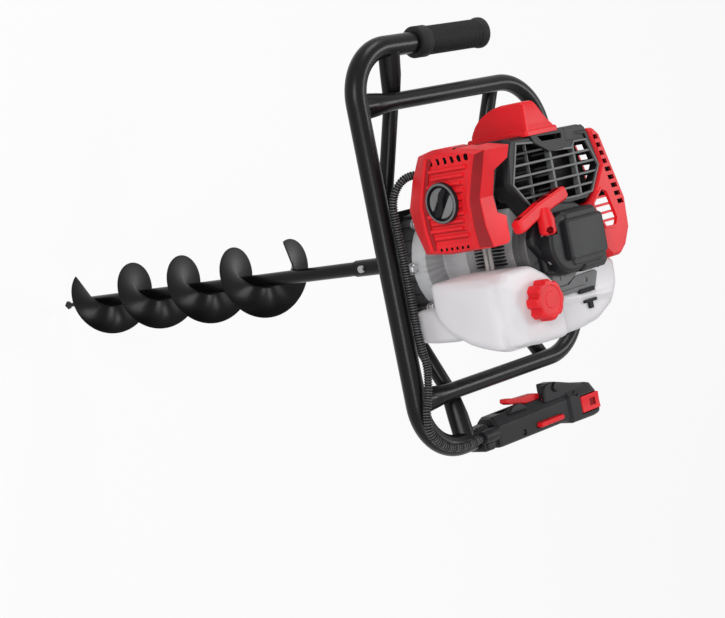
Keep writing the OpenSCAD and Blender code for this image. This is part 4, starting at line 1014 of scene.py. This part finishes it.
class AUGER_OT_tank(bpy.types.Operator):
    """Milky fuel tank with its strap and filler cap"""
    bl_idname = "earth_auger.tank"
    bl_label = "Fuel tank"

    def execute(self, context):
        levels = [z for z, _ in TANK_BELLY]
        reach = [x for _, x in TANK_BELLY]
        def drawn(outline, z, gap=0.0):
            k = (np.interp(z, levels, reach) - 14) / 90
            return offset([(14 + (x - 14) * k, y) for x, y in outline], -gap)
        skin = (
            (116, 5), (119, 1.5), (128, 0), (145, 0), (161, 0), (180, 0), (189, 0.5), (194, 2.5), (196, 7))
        body = stack("fuel_bottle", "Z", *[(drawn(TANK, z, gap), z) for z, gap in skin])
        front = [
            (18, -110), (28, -113), (90, -113), (101, -108), (104, -92), (104, -66), (90, -60), (18, -60)]
        skin = ((103, 4), (105, 1), (109, 0), (118, 0), (128, 0), (150, 2))
        lobe = stack("lobe", "Z", *[(drawn(front, z, gap), z) for z, gap in skin])
        foot = (66, -88)
        low = tapered(
            "low_lobe", "Z", (28, 30, 7, foot, 64), (38, 40, 8, foot, 67), (40, 42, 8, foot, 90),
            (40, 42, 8, foot, 124), (30, 36, 8, (64, -84), 132))
        middle = [((a[0] + b[0]) / 2, (a[1] + b[1]) / 2) for a, b in zip(SHELF_LOW, SHELF_TOP)]
        shelf = stack(
            "shelf", "Z", (offset(SHELF_LOW, -3), 150), (SHELF_LOW, 186), (offset(middle, 2), 205),
            (SHELF_TOP, 214))
        ridge = prism("ridge", [(62, 2), (66, 0), (74, 90), (70, 92)], 188, 199)
        # The lobes are melted into one blown skin
        tank = join("fuel_bottle", [body, lobe, low, shelf, ridge])
        apply_modifier(tank, "REMESH", mode="VOXEL", voxel_size=2.2 * MM)
        apply_modifier(tank, "SMOOTH", factor=0.5, iterations=14)
        carve(
            tank, drum("engine_room", 49.6, 60, 240, count=96),
            block("strap_room", (46, -6, 195.9), (61, 62, 204)))
        dress(tank, "white_plastic", "fuel_tank", smooth=60)
        neck = turned(
            "filler_neck", [(206, 17), (213, 17), (214.2, 15.6), (222, 14.4), (222, 12)], (*FILLER, 0),
            count=48)
        dress(neck, "white_plastic", smooth=40)
        stub = turned("drain_stub", [(60, 1), (60, 3), (60.6, 4), (68, 4), (70, 2)], (77, -94, 0), count=24)
        dress(stub, "black_plastic", smooth=40)
        self.cap(*FILLER, 214.5)
        self.strap()
        return {"FINISHED"}

    def cap(self, x, y, z):
        def ring(level, size, depth):
            points = []
            for a in full_turn(120):
                swell = min(1.0, (0.5 + 0.5 * math.cos(8 * a)) * 1.8)
                r = size - depth * (1 - swell)
                points.append((x + r * math.cos(a), y + r * math.sin(a), level))
            return points
        cap = loft(
            "filler_cap", [ring(z, 16, 0), ring(z, 22, 3.6), ring(z + 0.8, 23, 4.2),
                ring(z + 13.6, 23, 4.2), ring(z + 15.6, 22.4, 2.6), ring(z + 17.2, 20.8, 1.2),
                ring(z + 17.6, 19, 0.6), ring(z + 17.6, 16.6, 0), ring(z + 16.6, 15.8, 0),
                ring(z + 16.6, 9.5, 0), ring(z + 17.2, 8.8, 0), ring(z + 17.2, 2, 0)])
        dress(cap, "red_plastic", "fuel_cap", body="cap", smooth=32)

    def strap(self):
        plate = prism(
            "tank_strap", [(49.2, -8), (54, -5), (59.5, -6), (60.5, 58), (44, 66), (41, 62), (42, 26),
                (49.2, 12)], 196.2, 198.8)
        carve(plate, drum("hole", 2.6, 190, 206, (49.5, 44, 0), count=24))
        soften(plate, 0.5, 2)
        rail = soften(block("rail", (54.5, -4, 198.6), (57, 40, 201.4)), 0.6, 2)
        clip = soften(block("clip", (58.5, 27, 196.2), (63.5, 54, 201)), 0.8, 2)
        head = soften(block("head", (72, 34, 194), (75.4, 56, 200)), 0.7, 2)
        stem = soften(block("stem", (74, 42, 194), (83, 49, 199)), 0.7, 2)
        for piece in (clip, head, stem):
            paint(piece, FIN_BLACK)
        dress(
            join("tank_strap", [plate, rail, clip, head, stem]), "steel", "tank_bracket", finish=STRAP_GREY,
            smooth=35)


GRIP_STATIONS = (
    (-48, 213, 12.6, 13.4), (-46, 213, 14.6, 15.2), (-31.5, 212.6, 15.2, 16), (-30.5, 212, 13.8, 14.2),
    (-26, 212, 13.8, 14.2), (-25, 211, 17.1, 17.2), (-19, 210, 18.4, 18), (60, 209.5, 18.6, 18),
    (95, 209.5, 18.5, 18), (104, 210, 19.5, 18.2), (108, 210.6, 21.8, 21), (150, 211.5, 21.4, 21),
    (160, 212.5, 19.4, 20), (164.5, 213.5, 16.5, 17))


class AUGER_OT_throttle(bpy.types.Operator):
    """Throttle grip with its trigger, lock and stop switch"""
    bl_idname = "earth_auger.throttle"
    bl_label = "Throttle grip"

    def execute(self, context):
        rings = []
        for y, cx, hx, hz in GRIP_STATIONS:
            section = (
                (hx, 4 - hz), (hx, hz - 3), (hx - 3, hz), (12 - hx, hz), (-hx, hz - 9), (-hx, 8 - hz),
                (8 - hx, -hz), (hx - 4, -hz))
            rings.append([(cx + p, y, FRAME_Z + q) for p, q in section])
        body = soften(loft("throttle_housing", rings), 1.4, 3, 20)
        horn = soften(
            prism("horn", [(198, 68), (186, 69), (178, 72), (175.6, 80), (176, 92), (181, 110), (190, 142),
                (200, 150)], 60, 80.5), 2.4, 3)
        cap = turned("horn_cap", [(76, 6), (81.6, 6), (83.4, 5), (83.8, 3)], (182.5, 91, 0), count=32)
        thumb = soften(
            prism("thumb", [(195, 3), (188, 9), (186, 22), (188.6, 31), (196, 37)], 71.8, 80), 2.0, 3)
        for piece in (body, horn, thumb):
            carve(piece, block("trigger_room", (160, -5, 58.4), (206, 80.5, 71.6)))
        carve(
            body, block("trigger_well", (203, 8, 58.4), (221, 74, 71.6)),
            block("switch_room", (203, 126.6, 76), (226, 162.3, 95)),
            block("lock_room", (215.3, 43.8, 74), (222.7, 90.2, 95)),
            drum("bar_room", 12.6, -80, 0.2, (211, 0, FRAME_Z), (0, 1, 0), 48),
            drum("screw_room", 3.6, 80, 95, (221, 20, 0), count=24),
            drum("screw_room", 3.6, 83, 95, (198, 122, 0), count=24),
            prism("edge_line", [(190, 64.6), (196, 64.6), (196, 65.2), (190, 65.2)], 84, 170, "Y"))
        housing = join("throttle_housing", [body, horn, cap, thumb])
        dress(housing, "black_plastic", "throttle_shell_front", "throttle_shell_back", smooth=38)
        details = [
            turned("throttle_boss", [(-54, 6.0), (-53, 7.4), (-44, 8.0), (-32, 8.0), (-28, 5.0)],
                (209, 0, 84), (0, 1, 0), 32)]
        for x, y, z in ((221, 20, 76), (198, 122, 79)):
            details.append(
                turned("screw", [(z, 3.2), (z + 5, 3.2), (z + 5.8, 2.4), (z + 5.0, 1.6)], (x, y, 0),
                    count=20))
        details.append(soften(block("lug", (218, -46, 78), (226, -33, 83)), 1.2, 2))
        dress(join("throttle_boss", details), "black_plastic", smooth=40)
        self.controls()
        return {"FINISHED"}

    def controls(self):
        px, py, pz = 194, 70, FRAME_Z
        outline = [
            (-4, 5), (-9, 0), (-11, -8), (-12.4, -40), (-15.0, -50), (-16, -58), (-11, -59), (-8, -54),
            (-5, -36), (3, -6), (4, 3)]
        lever = soften(
            prism("throttle_lever", [(px + x, py + y) for x, y in outline], pz - 6, pz + 6), 1.6, 3)
        pin = drum("pin", 2.5, -11, 11, (px, py, pz), count=20)
        dress(join("throttle_lever", [lever, pin]), "red_plastic", "throttle_trigger", body="trigger")
        place = (219, 68)
        lock = tapered(
            "trigger_lock", "Z", (6.4, 43.4, 2, place, 78), (6.4, 43.4, 2, place, 87),
            (4.6, 41.4, 1.6, place, 89))
        dress(soften(lock, 0.5, 2), "red_plastic", "throttle_lock", body="lock")
        x, y, z = 214.5, 144.5, 79.8
        rocker = prism(
            "rocker", [(x - 10, z + 0.8), (x - 3, z - 2.2), (x + 3, z - 2.2), (x + 10, z + 0.8),
                (x + 10, z + 7.4), (x + 5, z + 7), (x, z + 6.8), (x - 5, z + 7), (x - 10, z + 7.4)], y - 17,
            y + 17, "Y")
        soften(rocker, 0.8, 2)
        paint(rocker, FINISH["red_plastic"])
        # The mark is cut in with dark red walls, as painted shade
        carve(
            rocker, soften(block("mark", (x - 4.5, y - 2, z + 5.2), (x + 4.5, y + 9, z + 10)), 0.5, 1),
            finish=RECESS_SHADE_RED)
        dress(rocker, "red_plastic", "stop_switch", body="switch")


class AUGER_OT_frame_detail(bpy.types.Operator):
    """Tube ends and welds on the frame, and the engine's bolts, ribs, fins, spark plug and second hose"""
    bl_idname = "earth_auger.frame_detail"
    bl_label = "Welds and bolts"

    def execute(self, context):
        flares = []
        beads = []
        for side in (-1, 1):
            x = -22 + side * 170
            flares.append(self.flare(x))
            beads.append(self.bead(x))
        dress(join("hoop_ends", flares), "frame_paint", "hoop_sleeves", smooth=50)
        flats = [
            self.flat((-22 + side * 233, -66, FRAME_Z), (-22 + side * 170, -56, 45.6)) for side in (-1, 1)]
        dress(join("brace_flats", flats), "frame_paint", smooth=50)
        dress(join("weld_beads", beads), "frame_paint", smooth=60)
        bolts = []
        ribs = []
        for k in range(24):
            turn = Matrix.Translation((0, GEARBOX_Y * MM, 0)) @ Matrix.Rotation(
                2 * math.pi * k / 24, 4, "Z")
            rib = soften(block("rib", (63, -1.6, 21), (68.5, 1.6, 50)), 0.8, 2)
            rib.data.transform(turn)
            ribs.append(rib)
            if k % 3 == 0:
                bolt = turned(
                    "fixing", [(51, 7.0), (53, 7.0), (53.2, 5.4), (58, 5.4), (58.8, 4.6)], (69, 0, 0),
                    count=18)
                bolt.data.transform(turn)
                bolts.append(bolt)
        dress(join("gearbox_bolts", bolts), "steel", smooth=35)
        dress(join("gearbox_ribs", ribs), "gearbox_paint", smooth=40)
        fins = []
        for k in range(6):
            x = -9 + k * 4
            fins.append(soften(block("fin", (x - 0.9, -54, 126), (x + 0.9, -45, 166)), 0.5, 2))
        dress(join("crankcase_fins", fins), "cast_alloy", finish=FIN_BLACK, smooth=40)
        self.plug()
        hose = drum("return_hose", 2.4, -57.8, 13.8, (0, -66, 161), (1, 0, 0), 20)
        dress(soften(hose, 0.6, 2), "fuel_hose", smooth=60)
        return {"FINISHED"}

    def plug(self):
        base = (0, 0, CRANK_Z)
        towards = (-1, 0, 0)
        thread = [(97.2, 3.0), (97.2, 6.2)]
        t = 97.8
        while t < 115:
            thread += [(t, 6.3), (t + 0.5, 6.95), (t + 1.0, 6.3)]
            t += 1.2
        body = turned(
            "plug_body", thread + [(119.6, 6.9), (119.8, 9.3), (120.4, 9.4), (121, 8.6)], base, towards, 32)
        nut = soften(
            turned("nut", [(120.6, 4), (120.6, 9.2), (128.6, 9.2), (128.6, 4)], base, towards, 6), 0.6, 2)
        top = turned(
            "insulator", [(127, 5.6), (129.4, 5.6), (130, 4.9), (137.6, 4.9), (137.9, 4.4)], base, towards,
            32)
        paint(top, FINISH["pulley_plastic"])
        dress(join("plug_body", [body, nut, top]), "steel", "spark_plug", smooth=35)

    def flare(self, x):
        rings = []
        for y, across, tall in (
                (-122, 14.4, 8.6), (-112, 14.4, 9.2), (-100, 13.2, 10.4), (-88, 11.4, 10.9),
                (-76, 10.5, 10.6), (-68, 10.1, 10.1)):
            rings.append(
                [(x + across * math.cos(k), y, FRAME_Z + tall * math.sin(k)) for k in full_turn(40)])
        flare = loft("flare", rings)
        return carve(
            flare, drum("bar_room", 12.55, -40, 40, (x, BAR_Y, FRAME_Z), (1, 0, 0), 64),
            drum("tube_room", 10.02, -130, -60, (x, 0, FRAME_Z), (0, 1, 0), 48))

    def flat(self, leg, hoop):
        leg, hoop = Vector(leg), Vector(hoop)
        along = (hoop - leg).normalized()
        wide = Vector((0, 0.7, 0.7))
        wide = (wide - along * wide.dot(along)).normalized()
        thin = along.cross(wide)
        rings = []
        for t, across, thick in ((0.06, 12.6, 8.2), (0.5, 12.2, 8.2), (0.85, 10.5, 8.3), (1.0, 9.6, 8.6)):
            middle = leg.lerp(hoop, t) + wide * (across - 9) * 0.6
            def point(k):
                return tuple(middle + wide * across * math.cos(k) + thin * thick * math.sin(k))
            rings.append([point(k) for k in full_turn(40)])
        return carve(
            loft("flat", rings), drum("bar_room", 12.55, -130, 20, (leg.x, 0, FRAME_Z), (0, 1, 0), 64),
            drum("hoop_room", 10.05, -130, 20, (hoop.x, 0, FRAME_Z), (0, 1, 0), 48))

    def bead(self, x):
        def place(s, t):
            turn = 2 * np.pi * s
            thick = 1.6 * (1 + 0.2 * np.sin(turn * 24))
            out = thick * np.cos(2 * np.pi * t)
            px = x + (14.6 + out) * np.cos(turn)
            dz = (9.4 + out) * np.sin(turn)
            py = BAR_Y + np.sqrt(12.5 ** 2 - np.clip(dz, -12, 12) ** 2) + thick * np.sin(2 * np.pi * t)
            return np.stack([px, py, FRAME_Z + dz], axis=1)
        return sheet_grid("bead", 144, 8, place)


# The clutch housing's pale alloy is partly painted light, lifted against the shade over it
SPECIAL_FINISH = {
    "cylinder": FIN_BLACK, "clutch_housing": PALE_ALLOY_PAINTED_LIGHT, "gearbox_cover": FINISH["cast_alloy"],
    "crankcase_front": RING_GREY, "crankcase_rear": RING_GREY, "carburettor": FIN_BLACK,
    "muffler": FIN_BLACK, "plug_cap": FIN_BLACK}


class AUGER_OT_finishes(bpy.types.Operator):
    """Gives every solid that stays in view its own finish, or the finish of its slot"""
    bl_idname = "earth_auger.finishes"
    bl_label = "Finishes"

    def execute(self, context):
        for part in frame["record"]["subparts"]:
            node = NODES[part["node"]]
            node.data.materials.clear()
            paint(node, SPECIAL_FINISH.get(part["node"], FINISH[part["material_slot"]]))
        return {"FINISHED"}


class AUGER_OT_stage(bpy.types.Operator):
    """Pale floor, soft lamps and the camera"""
    bl_idname = "earth_auger.stage"
    bl_label = "Stage"

    def execute(self, context):
        look = context.scene.earth_auger_stage
        deselect()
        bpy.ops.mesh.primitive_plane_add(size=14, location=(0, 0, CAD_BOX[0].z - 0.003))
        floor = bpy.context.object
        floor.name = "floor"
        paper, f = new_finish("floor_paper", Roughness=0.9, Base_Color=(*look.floor, 1.0))
        f.close(f.seen() * 0.88, f.node("ShaderNodeEmission", {}, {}), "Material Output")
        paint(floor, paper)
        scene = context.scene
        scene.view_settings.view_transform = "Standard"
        scene.world = bpy.data.worlds.new("studio")
        scene.world.use_nodes = True
        sky = Finish(scene.world.node_tree, "Background")
        sky.show(Color=(1, 1, 1, 1), Strength=look.sky)
        white = sky.node("ShaderNodeBackground", {}, {"Color": (1, 1, 1, 1), "Strength": 1.0})
        sky.close(sky.seen(), white, "World Output")
        self.camera(scene)
        key = look.key_power
        self.lamp("key", (-0.9, -1.9, 1.4), 0.9, key)
        self.lamp("top", (-1.9, 0.5, 0.9), 0.8, key * 0.6)
        self.lamp("side", (1.6, -0.9, 1.1), 0.9, key * 0.4)
        self.lamp("front", (0.2, -1.4, 1.4), 0.4, key * 0.35)
        self.lamp("back", (-0.05, 1.5, 1.6), 0.6, key * 0.55)
        return {"FINISHED"}

    def camera(self, scene):
        deselect()
        bpy.ops.object.camera_add()
        eye = bpy.context.object
        ahead = Vector((0.0911, 0.6796, -0.7279)).normalized()
        right = ahead.cross(Vector((-0.9763, 0.2049, 0.0691))).normalized()
        turn = Matrix((right, right.cross(ahead), -ahead)).transposed().to_4x4()
        eye.matrix_world = Matrix.Translation((-0.1498, -1.5011, 1.4768)) @ turn
        eye.data.sensor_width = 36.0
        eye.data.lens = 86.9
        eye.data.clip_end = 60.0
        scene.camera = eye

    def lamp(self, name, place, size, power):
        deselect()
        bpy.ops.object.light_add(type="AREA", location=place)
        lamp = bpy.context.object
        lamp.name = name
        lamp.data.energy = power
        lamp.data.size = size
        lamp.rotation_euler = (Vector((0, 0, 0.05)) - Vector(place)).to_track_quat("-Z", "Y").to_euler()


class AUGER_PT_panel(bpy.types.Panel):
    bl_label = "Earth auger"
    bl_idname = "AUGER_PT_panel"
    bl_space_type = "VIEW_3D"
    bl_region_type = "UI"
    bl_category = "Earth auger"

    def draw(self, context):
        for operator in OPERATORS:
            self.layout.operator(operator.bl_idname)


GROUPS = (
    ("earth_auger_auger", AugerSizes), ("earth_auger_sleeve", SleeveSizes),
    ("earth_auger_stage", StageLook))
OPERATORS = (
    AUGER_OT_stage, AUGER_OT_sleeve, AUGER_OT_finishes, AUGER_OT_flight, AUGER_OT_grip, AUGER_OT_filter,
    AUGER_OT_dome, AUGER_OT_shroud, AUGER_OT_guard, AUGER_OT_starter, AUGER_OT_tank, AUGER_OT_throttle,
    AUGER_OT_frame_detail)


def register():
    for name, group in GROUPS:
        bpy.utils.register_class(group)
        setattr(bpy.types.Scene, name, bpy.props.PointerProperty(type=group))
    for operator in OPERATORS + (AUGER_PT_panel,):
        bpy.utils.register_class(operator)


def unregister():
    for operator in OPERATORS + (AUGER_PT_panel,):
        bpy.utils.unregister_class(operator)
    for name, group in GROUPS:
        delattr(bpy.types.Scene, name)
        bpy.utils.unregister_class(group)


def main():
    register()
    for operator in OPERATORS:
        family, step = operator.bl_idname.split(".")
        getattr(getattr(bpy.ops, family), step)()


if __name__ == "__main__":
    main()
